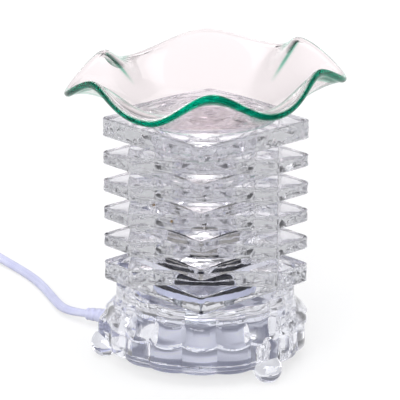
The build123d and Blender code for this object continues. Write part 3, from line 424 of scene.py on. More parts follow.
loop_out, loop_up = rounded_square(full_turn(STRAP_ROWS), LOOP_POWER)
strap_out = STRAP_MIDDLE_RADIUS + STRAP_HALF_REACH * loop_out
strap_up = STRAP_MIDDLE_HEIGHT + STRAP_HALF_HEIGHT * loop_up
strap_spoke = np.array([math.cos(STRAP_ANGLE), math.sin(STRAP_ANGLE), 0.0])
strap_across = np.cross(UP, strap_spoke)
strap_line = np.array([*COIL_CENTRE, 0.0]) + strap_spoke * strap_out[:, None] + UP * strap_up[:, None]
strap_ahead = np.roll(strap_line, -1, axis=0) - np.roll(strap_line, 1, axis=0)
strap_normal = np.cross(strap_ahead, strap_across)
strap_normal /= np.linalg.norm(strap_normal, axis=1, keepdims=True)
band_side, band_depth = rounded_square(full_turn(BAND_COLUMNS), BAND_POWER)
band_wide = STRAP_HALF_WIDTH * band_side
band_thick = STRAP_HALF_THICKNESS * band_depth
print("strap loop:", 2 * STRAP_HALF_REACH, "by", 2 * STRAP_HALF_HEIGHT, "mm")

# %% Strap
strap_points = strap_line[:, None] + strap_across * band_wide[:, None]
strap_points = strap_points + strap_normal[:, None] * band_thick[:, None]
strap_mesh = make_mesh("coil_strap", [weave(strap_points, close_rows=True)])
# The weave's map is the strap laid flat: length along the loop and place across the band.
strap_uv = strap_mesh.uv_layers.new(name="weave")
corner_points = np.empty(len(strap_mesh.loops), dtype=np.int64)
strap_mesh.loops.foreach_get("vertex_index", corner_points)
strap_walk = np.cumsum(np.linalg.norm(np.diff(strap_line, axis=0, prepend=strap_line[:1]), axis=1))
along = strap_walk[corner_points // BAND_COLUMNS]
across = band_wide[corner_points % BAND_COLUMNS]
strap_flat = np.stack([along, across], axis=-1) * MM
strap_uv.data.foreach_set("uv", strap_flat.ravel())
coil_strap = add_piece("coil_strap", strap_mesh, nylon_strap, "tower", "tie_strap", "cord_tie")

dimmer_names = ["dimmer_lower_shell", "dimmer_upper_shell", "dimmer_screws"]
dimmer_names += ["dimmer_potentiometer", "dimmer_board"]
print("cords declared:", lead_flex.name, "and", coiled_flex.name)

# %% [markdown]
# ## Strain relief
# A moulded PVC boot grips the lead where it leaves the glass: a flange inside, a neck in the notch,
# a flange outside and a tapered tail with ribs that let it bend. It is turned about the lead's own
# axis, which leaves the base at 150 degrees and droops by 5.

# %% Strain relief
WALL_RADIUS = 47.5
EXIT_HEIGHT = 6.3
EXIT_TURN = math.radians(150.0)
EXIT_FALL = math.radians(5.0)
exit_spoke = np.array([math.cos(EXIT_TURN), math.sin(EXIT_TURN), 0.0])
exit_place = WALL_RADIUS * exit_spoke + EXIT_HEIGHT * UP
exit_ahead = math.cos(EXIT_FALL) * exit_spoke - math.sin(EXIT_FALL) * UP
exit_side = np.cross(UP, exit_spoke)
exit_lift = np.cross(exit_ahead, exit_side)
BOOT_ROOT_RADIUS = 3.9
BOOT_TIP_RADIUS = 2.95
BOOT_TAIL_START = 2.4
BOOT_TAIL_END = 20.5
RIBS_END = 20.2
RIB_COUNT = 5
RIB_DEPTH = 0.45
RIB_ROWS = 61
tail_along = np.linspace(BOOT_TAIL_START, RIBS_END, RIB_ROWS)
tail_share = (tail_along - BOOT_TAIL_START) / (BOOT_TAIL_END - BOOT_TAIL_START)
tail_taper = BOOT_ROOT_RADIUS + (BOOT_TIP_RADIUS - BOOT_ROOT_RADIUS) * tail_share
rib_swing = 2 * np.pi * RIB_COUNT * np.linspace(0, 1, RIB_ROWS)
tail_ribs = RIB_DEPTH * np.minimum(np.sin(rib_swing), 0)
# Profile points are radius and way along the lead: inner flange, neck, outer flange, tail and bore.
boot_profile = [(2.45, -13.9), (4.7, -13.9), (5.0, -13.6), (5.0, -12.6), (4.7, -12.3), (3.9, -12.3)]
boot_profile += [(3.9, 0.8), (4.7, 0.8), (5.0, 1.1), (5.0, 2.1), (4.7, 2.4)]
boot_profile += list(zip(tail_taper + tail_ribs, tail_along))
boot_profile += [(2.75, 20.5), (2.45, 20.5), (2.4, 4.0)]
boot_axes = np.stack([exit_side, exit_lift, exit_ahead])
boot_points = exit_place + turn(boot_profile, full_turn(40)) @ boot_axes
boot_mesh = make_mesh("relief_boot", [weave(boot_points, close_rows=True)], crease=40.0)
add_piece("relief_boot", boot_mesh, flex_pvc, "tower", "lead_pvc", "strain_relief")

# %% [markdown]
# ## Clear glass
# The tiles and the base are pressed soda-lime glass, fire-polished after pressing: clear, with a
# trace of grey, and never quite flat. A tile's level faces and its bore are ground and polished, so
# they are clearer and true. The dish is sheet glass, slumped over a mould: clearer still, but its edge
# shows the deep green that a long look through sheet glass gives. The tiles are stuck face to face with
# a cured clear adhesive of nearly the glass's own index, which makes the joint vanish. The lamp is
# fused quartz, which bends light a little less.
# Unevenness could be modelled in the mesh alone, but ripples of a few millimetres would need far more
# faces, so the tiles' larger waves are in the mesh, and the rest is a bump in the finish.

# %% Pressed and polished glass
GLASS_IOR = 1.52
CLEAR = {"Transmission Weight": 1.0, "Roughness": 0.0, "IOR": GLASS_IOR}
# The tiles' walls break the view into small patches, and scatter their mirror images, which are toned
# down for that. The base has broader, softer waves. Grain and depth of the waves are in millimetres.
tile_looks = {"Base Color": linear("#C3C4C7"), "Specular Tint": linear("#8A8A92")}
base_looks = {"Base Color": linear("#F0F1F7")}
uneven = []
for name, looks, grain, detail, depth in (
    ("fire_polished_soda_lime_glass", tile_looks, 2.4, 2.0, 0.3),
    ("pressed_soda_lime_glass", base_looks, 9.0, 1.0, 0.6),
):
    glass, tree, shader = new_finish(name, {**CLEAR, **looks})
    place = add_node(tree, "ShaderNodeTexCoord")
    waves = add_node(
        tree,
        "ShaderNodeTexNoise",
        {"Scale": 1 / (grain * MM), "Detail": detail},
        {"Vector": place.outputs["Object"]},
    )
    relief = add_node(
        tree, "ShaderNodeBump", {"Strength": 0.2, "Distance": depth * MM}, {"Height": waves.outputs["Fac"]}
    )
    tree.links.new(relief.outputs["Normal"], shader.inputs["Normal"])
    uneven.append(glass)
tile_glass, base_glass = uneven
# Polished faces are almost without colour, and show what lies behind them unbroken.
bore_glass, tree, shader = new_finish(
    "ground_and_polished_glass", {**CLEAR, "Base Color": linear("#FBFAFF")}
)
print("glass finishes:", tile_glass.name, base_glass.name, bore_glass.name)

# %% Adhesive and quartz
# An IOR of one on the stuck faces lets light go straight on from tile to tile.
adhesive, tree, shader = new_finish(
    "cured_clear_adhesive", {**CLEAR, "Base Color": linear("#FFFFFF"), "IOR": 1.0}
)
# Quartz is a shade clearer than the tiles, so the capsule shows mostly by its outline.
lamp_quartz, tree, shader = new_finish(
    "fused_quartz_glass", {**CLEAR, "Base Color": linear("#FBFBFA"), "IOR": 1.46}
)
print("glass finishes:", adhesive.name, lamp_quartz.name)

# %% Sheet glass with a green edge
sheet_glass, tree, shader = new_finish("slumped_sheet_glass", CLEAR)
# The edge is green where light enters through it, and so is a fold that is seen along the sheet.
edge = add_node(tree, "ShaderNodeAttribute", attribute_name="edge")
seen = add_node(tree, "ShaderNodeNewGeometry")
entering = add_node(
    tree, "ShaderNodeMath", {0: 1.0}, {1: seen.outputs["Backfacing"]}, operation="SUBTRACT"
)
edge_green = add_node(
    tree,
    "ShaderNodeMath",
    links={0: edge.outputs["Fac"], 1: entering.outputs["Value"]},
    operation="MULTIPLY",
)
grazing = add_node(tree, "ShaderNodeLayerWeight", {"Blend": 0.5})
along_sheet = add_node(
    tree,
    "ShaderNodeMapRange",
    {"From Min": 0.76, "From Max": 0.95, "To Min": 0.0, "To Max": 1.0},
    {"Value": grazing.outputs["Facing"]},
)
green = add_node(
    tree,
    "ShaderNodeMath",
    links={0: edge_green.outputs["Value"], 1: along_sheet.outputs["Result"]},
    operation="MAXIMUM",
)
# Through the sheet all is clear and a little rosy, through the edge it is bottle green.
tint = add_node(tree, "ShaderNodeValToRGB", links={"Fac": green.outputs["Value"]})
tint.color_ramp.elements[0].color = linear("#F6EEEF")
tint.color_ramp.elements[1].color = linear("#00381F")
tint.color_ramp.elements.new(0.5).color = linear("#5FB093")
tree.links.new(tint.outputs["Color"], shader.inputs["Base Color"])
# The edge's gleam is green too, because most of it comes back from inside the glass.
gleam = add_node(tree, "ShaderNodeValToRGB", links={"Fac": green.outputs["Value"]})
gleam.color_ramp.elements[0].color = linear("#C8C8C8")
gleam.color_ramp.elements[1].color = linear("#0C6E4E")
tree.links.new(gleam.outputs["Color"], shader.inputs["Specular Tint"])
print("glass finish:", sheet_glass.name)

# %% [markdown]
# ## Fluted dish
# The dish is one sheet, three millimetres thick, slumped over a ring: a flat floor, a rounded bend,
# and a wall whose rim swings up and down in six uneven waves. Sculpting could give such a wall, but not
# an even thickness. So its underside is a height over radius and angle, and the upper side lies one
# thickness away along the normal. A bead, thickest in front and thinner towards the back, joins the two
# at the fire-polished rim. The mesh carries an attribute that is one on the edge and fades inward.


# %% Sizes and rules of the dish
DISH_BOTTOM = 114.1
DISH_LIFT = 0.05
DISH_WALL = 3.0
DISH_FOOT_RADIUS = 28.0
DISH_FOOT_STEP = 0.4
DISH_FLOOR_RADIUS = 33.0
DISH_MIDDLE_RADIUS = 14.0
DISH_BEND = 0.15
FLARE_POWER = 1.5
RIM_ANGLES = np.array([-85, -60, -23, 6, 39, 61, 92, 129, 152, 176, 210, 249], dtype=float)
RIM_RADII = np.array([58, 64.5, 58, 64.5, 58, 65.5, 58.5, 64.5, 58, 64.5, 58, 64])
RIM_HEIGHTS = np.array([23.7, 14.5, 27.0, 16.2, 28.1, 18.2, 26.4, 12.6, 22.0, 8.0, 20.9, 11.7])


def rim_at(angles):
    """Rim radius and height at each angle in degrees: half a cosine wave from each crest to each trough."""
    along = (angles - RIM_ANGLES[0]) % 360
    starts = RIM_ANGLES - RIM_ANGLES[0]
    spans = np.diff(np.append(starts, 360.0))
    here = np.searchsorted(starts, along, side="right") - 1
    after = (here + 1) % len(starts)
    ease = (1 - np.cos(np.pi * (along - starts[here]) / spans[here])) / 2
    radius = RIM_RADII[here] + (RIM_RADII[after] - RIM_RADII[here]) * ease
    return radius, RIM_HEIGHTS[here] + (RIM_HEIGHTS[after] - RIM_HEIGHTS[here]) * ease


def dish_rise(radius, rim_radius, rim_height):
    """Height of the underside: flat, then a parabola's bend, then a flare, with flutes growing outward."""
    reach = (radius - DISH_FLOOR_RADIUS) / (rim_radius - DISH_FLOOR_RADIUS)
    bent = (reach + DISH_BEND) ** 2 / (4 * DISH_BEND)
    climb = np.where(reach < -DISH_BEND, 0.0, np.where(reach > DISH_BEND, reach, bent))
    mean = RIM_HEIGHTS.mean()
    return mean * (1 - np.maximum(1 - climb, 0) ** FLARE_POWER) + (rim_height - mean) * climb**2


def dish_wall(share, rim_radius, rim_height):
    """Underside point, upper point and lean of the wall at shares of the way from floor to rim.

    The lean is the slope over a short step, and the upper point lies one thickness along the normal.
    """
    flat_edge = DISH_FLOOR_RADIUS - DISH_BEND * (rim_radius - DISH_FLOOR_RADIUS)
    radius = flat_edge + (rim_radius - DISH_WALL / 2 - flat_edge) * share
    step = 0.05
    further = dish_rise(radius + step, rim_radius, rim_height)
    nearer = dish_rise(radius - step, rim_radius, rim_height)
    lean = np.arctan2(further - nearer, 2 * step)
    height = DISH_BOTTOM + DISH_LIFT + DISH_FOOT_STEP + dish_rise(radius, rim_radius, rim_height)
    upper = (radius - DISH_WALL * np.sin(lean), height + DISH_WALL * np.cos(lean))
    return (radius, height), upper, lean


dish_angles = full_turn(360)
rim_radius, rim_height = rim_at(np.degrees(dish_angles))
print("dish rim: radius", rim_radius.min(), "to", rim_radius.max(), "mm")

# %% Dish surface
BEAD_RADIUS = 1.95
BEAD_TAPER = 0.42
BEAD_ROWS = 15
WALL_ROWS = 40
# The wall's rows stop short of the rim, where the bead takes over.
LAST_SHARE = 0.93
shares = np.linspace(0, LAST_SHARE, WALL_ROWS)
foot_z = DISH_BOTTOM + DISH_LIFT
floor_z = foot_z + DISH_FOOT_STEP
dish_profile = [(DISH_FOOT_RADIUS - DISH_FOOT_STEP, foot_z), (DISH_FOOT_RADIUS, floor_z)]
dish_profile += [dish_wall(share, rim_radius, rim_height)[0] for share in shares]
first_rim_row = len(dish_profile)
(low_r, low_z), (high_r, high_z), lean = dish_wall(1.0, rim_radius, rim_height)
# The bead is most of a circle, a little wider than the sheet, so it starts and ends on the two faces.
bead_radius = BEAD_RADIUS - BEAD_TAPER * (1 + np.sin(dish_angles)) / 2
bead_start = np.arccos(DISH_WALL / 2 / bead_radius)
for step in np.linspace(0, 1, BEAD_ROWS):
    bend = (np.pi + 2 * bead_start) * step - bead_start
    bead_out = bead_radius * np.sin(bend) - (bead_radius - DISH_WALL / 2)
    bead_up = -bead_radius * np.cos(bend)
    bead_r = (low_r + high_r) / 2 + bead_out * np.cos(lean) - bead_up * np.sin(lean)
    bead_z = (low_z + high_z) / 2 + bead_out * np.sin(lean) + bead_up * np.cos(lean)
    dish_profile.append((bead_r, bead_z))
dish_profile += [dish_wall(share, rim_radius, rim_height)[1] for share in shares[::-1]]
dish_profile += [(DISH_MIDDLE_RADIUS, floor_z + DISH_WALL)]
dish_points = turn(dish_profile, dish_angles)
dish_mesh = make_mesh("fluted_dish", [weave(dish_points, start_pole=True, end_pole=True)], crease=60.0)
print("dish surface:", len(dish_profile), "rows of", len(dish_angles), "points")

# %% Green edge and folds
# Rows are counted from the bead's first. The edge fades in on the wall below the bead, and fades out
# over the bead's rows that face into the bowl.
EDGE_FIRST_ROW = -4.0
EDGE_FADE_IN = 2.5
EDGE_LAST_ROW = 10.5
EDGE_FADE_OUT = 1.5
rim_row = np.arange(len(dish_mesh.vertices)) // len(dish_angles) - first_rim_row
edge_share = np.clip((EDGE_LAST_ROW - rim_row) / EDGE_FADE_OUT, 0, 1)
edge_share = edge_share * np.clip((rim_row - EDGE_FIRST_ROW) / EDGE_FADE_IN, 0, 1)
# Two folds of the sheet gathered as it sank: along their ridges it is thick enough to look green.
FOLD_ANGLES = np.radians([39.0, 152.0])
FOLD_HALF_WIDTH = 1.3
FOLD_GREEN = 0.85
FOLD_START = 0.4
FOLD_GROWTH = 0.3
upper_rows = first_rim_row + BEAD_ROWS + np.arange(WALL_ROWS)
ridge = np.clip((shares[::-1] - FOLD_START) / FOLD_GROWTH, 0, 1)
aside = (dish_angles[:, None] - FOLD_ANGLES + np.pi) % (2 * np.pi) - np.pi
upper_radii = np.hypot(dish_points[upper_rows, :, 0], dish_points[upper_rows, :, 1])
gather = np.exp(-((upper_radii[:, :, None] * aside / FOLD_HALF_WIDTH) ** 2)).sum(axis=-1)
fold_green = FOLD_GREEN * gather * ridge[:, None]
fold_points = upper_rows[:, None] * len(dish_angles) + np.arange(len(dish_angles))
edge_share[fold_points] = np.maximum(edge_share[fold_points], fold_green)
edge_layer = dish_mesh.attributes.new("edge", "FLOAT", "POINT")
edge_layer.data.foreach_set("value", edge_share.astype(np.float32))
add_piece("fluted_dish", dish_mesh, sheet_glass, "dish", "dish_glass", "glass_dish")

# %% [markdown]
# ## Glass tiles
# Eleven square tiles with a round bore, every second one turned by 45 degrees, so that their corners
# stand out as wings. Pressed glass leaves the mould with soft edges and walls that ripple a little,
# and those ripples give the tower its sparkle. A bevelled cube would be too regular for that, so a tile
# is a closed loop of rows: under face, rounded edge, rippled wall, rounded edge, upper face and bore.
# Where two tiles overlap, their faces touch and are stuck together, so that band of faces takes the
# adhesive's finish. The rest of the level faces and the bore take the polished glass.


# %% Outline and ripples of a tile
TILE_HALF = 68.5 / 2
TILE_CORNER = 2.5
TILE_COLUMNS = 480
# Each wave: its height, its count round the tile, and its shift for each tile and each millimetre up.
RIPPLE_WAVES = ((1.0, 37, 2.1, 0.9), (0.7, 61, -1.3, -0.7), (0.5, 97, 4.7, 1.9))
tile_angles = full_turn(TILE_COLUMNS)


def square_reach(angles, turned):
    """Distance from the axis to a rounded square's edge: a flat side, or the circle of its corner."""
    folded = (angles - turned + np.pi / 4) % (np.pi / 2) - np.pi / 4
    side = TILE_HALF / np.cos(folded)
    middle = TILE_HALF - TILE_CORNER
    along = middle * (np.cos(folded) + np.abs(np.sin(folded)))
    corner = along + np.sqrt(np.maximum(along**2 - 2 * middle**2 + TILE_CORNER**2, 0))
    return np.where(TILE_HALF * np.tan(np.abs(folded)) > middle, corner, side)


def ripple_wall(angles, height, tile):
    """Uneven wall: the sum of sine waves round the tile, their phase moved by tile number and height."""
    return sum(
        size * np.sin(count * angles + by_tile * tile + by_height * height)
        for size, count, by_tile, by_height in RIPPLE_WAVES
    )


pointed_reach = square_reach(tile_angles, np.pi / 4)
crossed_reach = square_reach(tile_angles, 0.0)
print("tiles reach", round(crossed_reach.min(), 2), "to", round(crossed_reach.max(), 2), "mm from the axis")

# %% Tiles
TILE_EDGE = 1.0
BORE_RADIUS = 23.5
BORE_EDGE = 0.4
TILE_THICKNESSES = [9.0] + [7.4, 5.9] * 4 + [7.4, 9.0]
BASE_TOP = 35.5
JOINT = 0.05
CONTACT_INSET = 0.05
BASE_CONTACT = 40.0
RIPPLE = 0.2
# The ripples are strongest on the wings at the left and right, and calm in front and behind.
CALM = 0.1
WALL_LEVELS = 6
wave_share = CALM + (1 - CALM) * np.cos(tile_angles) ** 2
contact = np.minimum(pointed_reach, crossed_reach) - TILE_EDGE - CONTACT_INSET
foot_contact = np.minimum(pointed_reach - TILE_EDGE - CONTACT_INSET, BASE_CONTACT)
curve = np.radians([22.5, 45.0, 67.5])
edge_in = TILE_EDGE * (1 - np.sin(curve))
edge_up = TILE_EDGE * (1 - np.cos(curve))
bore_rim = BORE_RADIUS + BORE_EDGE
tile_floor = BASE_TOP + JOINT
for tile, thickness in enumerate(TILE_THICKNESSES, start=1):
    reach = pointed_reach if tile % 2 else crossed_reach
    roof = tile_floor + thickness - JOINT
    under_contact = contact if tile > 1 else foot_contact
    profile = [(bore_rim, tile_floor), (under_contact, tile_floor), (reach - TILE_EDGE, tile_floor)]
    profile += [(reach - inset, tile_floor + rise) for inset, rise in zip(edge_in, edge_up)]
    for height in np.linspace(tile_floor + TILE_EDGE, roof - TILE_EDGE, WALL_LEVELS):
        ripples = RIPPLE / 2 * wave_share * ripple_wall(tile_angles, height, tile)
        profile.append((reach - RIPPLE + ripples, height))
    profile += [(reach - inset, roof - rise) for inset, rise in zip(edge_in[::-1], edge_up[::-1])]
    profile += [(reach - TILE_EDGE, roof), (contact, roof), (bore_rim, roof)]
    profile += [(BORE_RADIUS, roof - BORE_EDGE), (BORE_RADIUS, tile_floor + BORE_EDGE)]
    name = f"tile_{tile:02d}"
    mesh = make_mesh(name, [weave(turn(profile, tile_angles), close_rows=True)])
    # Faces take the walls' glass, but stuck ones the adhesive, and the bore and free level ones the polish.
    face_row = np.arange(len(mesh.polygons)) // TILE_COLUMNS
    top_row = len(profile) - 4
    stuck = (face_row == 0) | ((face_row == top_row) & (tile < len(TILE_THICKNESSES)))
    level = (face_row == 1) | (face_row == top_row - 1) | (face_row == top_row)
    polished = (face_row > top_row) | (level & ~stuck)
    mesh.polygons.foreach_set("material_index", (stuck + 2 * polished).astype(np.int32))
    add_piece(name, mesh, [tile_glass, adhesive, bore_glass], "tower", "tile_glass", f"glass_tile_{tile:02d}")
    tile_floor = roof + JOINT

# %% [markdown]
# ## Pressed base
# The base is a thick glass bell: a panelled wall, a sloping shoulder and a neck that carries the
# tower, hollow below for the wiring. Three pilasters with ball feet stand out of the wall. Panels could
# be cut one by one, but they swell out, so the bell is turned from one closed profile whose radius
# swells between the panel joints. Boolean modifiers add the feet and cut the notch for the lead, as the
# press mould does in one stroke.

# %% Panels of the base
PANELS = 18
PANEL_BULGE = 1.6
PANEL_COLUMNS = 18
NECK_RADIUS = 42.0
WALL_TOP = 20.6
NECK_BOTTOM = 27.6
LEG_ANGLES = np.radians([-51.0, 69.0, 189.0])
# Columns crowd towards the joints between panels, where the wall turns fastest.
panel_place = np.sin(np.pi / 2 * np.linspace(-1, 1, PANEL_COLUMNS, endpoint=False))
panel_middles = LEG_ANGLES[0] + full_turn(PANELS)
base_angles = (panel_middles[:, None] + panel_place * np.pi / PANELS).ravel()
panel_dip = PANEL_BULGE * np.tile(panel_place, PANELS) ** 2
wall = WALL_RADIUS - panel_dip
neck = NECK_RADIUS - panel_dip
# The shoulder is a plain cone, so it cuts the swelling panels in scallops.
slope = (NECK_BOTTOM - WALL_TOP) / (WALL_RADIUS - NECK_RADIUS + PANEL_BULGE)
wall_top = WALL_TOP + panel_dip * slope
neck_foot = WALL_TOP + (WALL_RADIUS - neck) * slope
print("base:", PANELS, "panels over", len(base_angles), "columns")

# %% Base bell
BASE_BOTTOM = 6.0
FOOT_ROUND = 1.2
NECK_ROUND = 1.0
SHELF_RADIUS = 38.5
SHELF_HEIGHT = 7.6
SEAT_HEIGHT = 35.4
NIPPLE_BORE = 5.4
CAVITY_RADIUS = 36.0
CAVITY_TOP = 29.6
BELL_CREASE = 20.0
roll = np.radians([20.0, 45.0, 70.0, 90.0])
foot_in = FOOT_ROUND * (1 - np.sin(roll))
foot_up = FOOT_ROUND * (1 - np.cos(roll))
bell_profile = [(SHELF_RADIUS, BASE_BOTTOM), (wall - FOOT_ROUND, BASE_BOTTOM)]
bell_profile += [(wall - inset, BASE_BOTTOM + rise) for inset, rise in zip(foot_in, foot_up)]
bell_profile += [(wall, 10.0), (wall, 13.0)]
# Each panel ends in a rolled lip, a little proud of it, below the scalloped edge.
LIP = 0.8
LIP_MIDDLE = 1.7
LIP_HALF_WIDTH = 1.0
lip_fall = np.array([4.6, 3.8, 3.0, 2.3, 1.7, 1.1, 0.6])
lip_swell = LIP * np.exp(-(((lip_fall - LIP_MIDDLE) / LIP_HALF_WIDTH) ** 2))
bell_profile += [(wall + swell, wall_top - fall) for fall, swell in zip(lip_fall, lip_swell)]
# Rounded top of the wall, rounded foot of the neck, then the neck and its rounded top.
bell_profile += [(wall - inset, wall_top + rise) for inset, rise in ((0.05, -0.2), (0.4, 0.2), (0.9, 0.75))]
neck_foot_round = ((1.4, -1.3), (0.8, -0.6), (0.35, 0.1), (0.1, 0.9), (0.0, 1.8))
bell_profile += [(neck + out, neck_foot + rise) for out, rise in neck_foot_round]
neck_top = BASE_TOP - NECK_ROUND
bell_profile += [(neck, 32.0), (neck, neck_top)]
bell_profile += [(neck - NECK_ROUND * (1 - np.cos(a)), neck_top + NECK_ROUND * np.sin(a)) for a in roll[:3]]
# The band of the top that the first tile covers is stuck to it.
bell_contact = np.minimum(square_reach(base_angles, np.pi / 4) - TILE_EDGE - CONTACT_INSET, BASE_CONTACT)
bell_profile += [(np.maximum(neck - NECK_ROUND, bell_contact + CONTACT_INSET), BASE_TOP)]
contact_row = len(bell_profile)
bell_profile += [(bell_contact, BASE_TOP), (bore_rim, BASE_TOP), (23.4, SEAT_HEIGHT)]
bell_profile += [(NIPPLE_BORE, SEAT_HEIGHT), (NIPPLE_BORE, CAVITY_TOP)]
# The plunger that forms the cavity is fluted, so the glass is thinner at the joints between panels.
FLUTE = 0.8
cavity = CAVITY_RADIUS + FLUTE * np.tile(panel_place, PANELS) ** 2
bell_profile += [(33.0, CAVITY_TOP), (34.6, 29.1), (35.6, 28.1), (cavity, 26.5), (cavity, 17.0)]
bell_profile += [(cavity, SHELF_HEIGHT), (SHELF_RADIUS, SHELF_HEIGHT)]
bell_shell = weave(turn(bell_profile, base_angles), close_rows=True)
bell_mesh = make_mesh("pressed_base", [bell_shell], crease=BELL_CREASE)
bell_row = np.arange(len(bell_mesh.polygons)) // len(base_angles)
bell_mesh.polygons.foreach_set("material_index", (bell_row == contact_row).astype(np.int32))
bell = add_piece("pressed_base", bell_mesh, [base_glass, adhesive], "tower", "base_glass", "glass_base")

# %% Shapes of the pilasters, feet and notch
PILASTER_RADIUS = 6.2
PILASTER_REACH = 44.5
PILASTER_SHOULDER = 15.4
BALL_RADIUS = 6.6
BALL_MIDDLE = 6.12
BALL_FLAT = 6.1
NOTCH_RADIUS = 4.2
NOTCH_DEPTH = 7.0
NOTCH_REACH = np.array([[-16.0], [12.0]])


def ball_rows(radius, middle, angles):
    """Profile of a ball: radius times cosine from the axis, and radius times sine above its middle."""
    return list(zip(radius * np.cos(angles), middle + radius * np.sin(angles)))


leg_round = full_turn(48)
quarter = np.linspace(0, np.pi / 2, 13)[:-1]
pilaster = [(PILASTER_RADIUS, 7.7), (PILASTER_RADIUS, 11.0)]
pilaster += ball_rows(PILASTER_RADIUS, PILASTER_SHOULDER, quarter)
# A foot is a ball that is ground flat where it stands.
ball_sweep = np.linspace(-math.asin(BALL_FLAT / BALL_RADIUS), np.pi / 2, 25)[:-1]
ball = ball_rows(BALL_RADIUS, BALL_MIDDLE, ball_sweep)
# The notch is an arch over the lead, open below, carried from inside the wall to outside it.
arch = np.linspace(0, np.pi, 17)
notch_side = NOTCH_RADIUS * np.append(np.cos(arch), [-1.0, 1.0])
notch_up = np.append(NOTCH_RADIUS * np.sin(arch), [-NOTCH_DEPTH, -NOTCH_DEPTH])
notch_ends = exit_place + exit_ahead * NOTCH_REACH
notch_points = notch_ends[:, None] - exit_side * notch_side[:, None] + UP * notch_up[:, None]
cutters = [("notch", notch_points, "DIFFERENCE")]
for leg in LEG_ANGLES:
    spoke = np.array([math.cos(leg), math.sin(leg)])
    cutters.append(("pilaster", turn(pilaster, leg_round, PILASTER_REACH * spoke), "UNION"))
    cutters.append(("foot", turn(ball, leg_round, WALL_RADIUS * spoke), "UNION"))
print("base gets", len(cutters), "shapes")

# %% Press the base
tools = []
for name, points, operation in cutters:
    tool = bpy.data.objects.new(name, make_mesh(name, [weave(points, start_pole=True, end_pole=True)]))
    scene.collection.objects.link(tool)
    tools.append(tool)
    step = bell.modifiers.new(name, "BOOLEAN")
    step.operation = operation
    step.solver = "EXACT"
    step.object = tool
bpy.context.view_layer.update()
pressed = bpy.data.meshes.new_from_object(bell.evaluated_get(bpy.context.evaluated_depsgraph_get()))
bell.modifiers.clear()
bell.data = pressed
for tool in tools:
    bpy.data.objects.remove(tool)
pressed.shade_smooth()
pressed.set_sharp_from_angle(angle=math.radians(BELL_CREASE))
print("pressed base has", len(pressed.vertices), "points and", len(pressed.polygons), "faces")

# %% [markdown]
# ## Capsule lamp
# A small two-pin lamp: a thin quartz capsule blown round the filament, closed below by a flat pinch.
# A solid capsule would bend light like a lens, so it is three closed shells: the outer skin, the hollow
# inside it with its faces turned inward, and the pinch, whose section is a rounded rectangle.

# %% Lamp
SKIN_RADIUS = 6.6
HOLLOW_RADIUS = 5.7
DOME_MIDDLE = 91.1
PINCH_HALF_WIDTH = 6.3
PINCH_HALF_DEPTH = 1.7
PINCH_POWER = 0.5
lamp_round = full_turn(64)
dome = np.linspace(0, np.pi / 2, 17)[:-1]
skin = [(2.6, 70.2), (3.3, 70.25), (4.4, 70.9), (5.8, 72.3), (6.4, 73.2), (6.6, 74.2), (6.6, 82.0)]
skin += ball_rows(SKIN_RADIUS, DOME_MIDDLE, dome)
hollow = [(0.8, 72.1), (3.4, 73.2), (5.2, 74.4), (5.7, 75.4), (5.7, 82.0)]
hollow += ball_rows(HOLLOW_RADIUS, DOME_MIDDLE, dome)
outer_skin = weave(turn(skin, lamp_round), start_pole=True, end_pole=True)
inner_points, inner_faces = weave(turn(hollow, lamp_round), start_pole=True, end_pole=True)
inner_skin = (inner_points, [part[:, ::-1] for part in inner_faces])
pinch_deep, pinch_wide = rounded_square(lamp_round, PINCH_POWER)
pinch_heights = np.array([61.2, 61.4, 64.0, 68.0, 70.5, 70.8])
pinch_size = np.array([0.94, 1.0, 1.0, 1.0, 1.0, 0.94])[:, None]
pinch_points = np.stack(
    [
        PINCH_HALF_DEPTH * pinch_size * pinch_deep,
        PINCH_HALF_WIDTH * pinch_size * pinch_wide,
        np.broadcast_to(pinch_heights[:, None], (len(pinch_heights), len(lamp_round))),
    ],
    axis=-1,
)
pinch = weave(pinch_points, start_pole=True, end_pole=True)
lamp_mesh = make_mesh("capsule_lamp", [outer_skin, inner_skin, pinch], crease=40.0)
add_piece("capsule_lamp", lamp_mesh, lamp_quartz, "lamp", "lamp_glass", "lamp_capsule")

# %% [markdown]
# ## Finishes of the solids that stay
# The metalwork, ceramic, mouldings and plug keep their solids: their shapes are right as they are.
# Each gets the finish of its real material. What these finishes share is a faint cloud of two near
# colours with a little relief from the same cloud, so one loop makes them from a table, and only the
# enamelled plate and the ribbed cover get finishes of their own.

# %% Finish table
# Each row: dark and light colour, grain in mm, roughness, metallic, and depth of the relief in mm.
solid_finishes = {
    # Glazed ceramic: creamy white, with a soft shine.
    "steatite": ("#EFEBE2", "#F8F5EE", 2.0, 0.28, 0.0, 0.06),
    # Metals: bluish grey plate, warm brass, dark drawn wire and pale nickel, each with a blurred shine.
    "zinc_plated_steel": ("#A9ACB0", "#C4C6C8", 0.8, 0.34, 1.0, 0.05),
    "spring_brass": ("#B08A45", "#CBA55C", 1.0, 0.30, 1.0, 0.04),
    "tungsten_wire": ("#3A3A3E", "#55555A", 0.6, 0.45, 1.0, 0.03),
    "nickel_pins": ("#B5B1A8", "#CFCBC2", 0.8, 0.28, 1.0, 0.03),
    # Braided sleeve: dull and straw-white.
    "glass_fibre_sleeve": ("#D9D4C4", "#EFEBDD", 0.5, 0.70, 0.0, 0.10),
    # Mouldings: a satin skin with the fine grain of a spark-eroded mould.
    "moulded_white_abs": ("#E4E4E6", "#EFEFF1", 0.7, 0.42, 0.0, 0.08),
    "moulded_grey_abs": ("#6E7076", "#7F8188", 0.6, 0.46, 0.0, 0.08),
    "black_phenolic": ("#141416", "#232327", 0.8, 0.40, 0.0, 0.05),
    "moulded_white_pvc": ("#DEDEE8", "#ECECF3", 1.5, 0.40, 0.0, 0.06),
    # Circuit board: green lacquer over the weave of the glass cloth.
    "glass_epoxy_board": ("#1E5B36", "#2F7A4B", 0.6, 0.45, 0.0, 0.03),
}
coats = {}
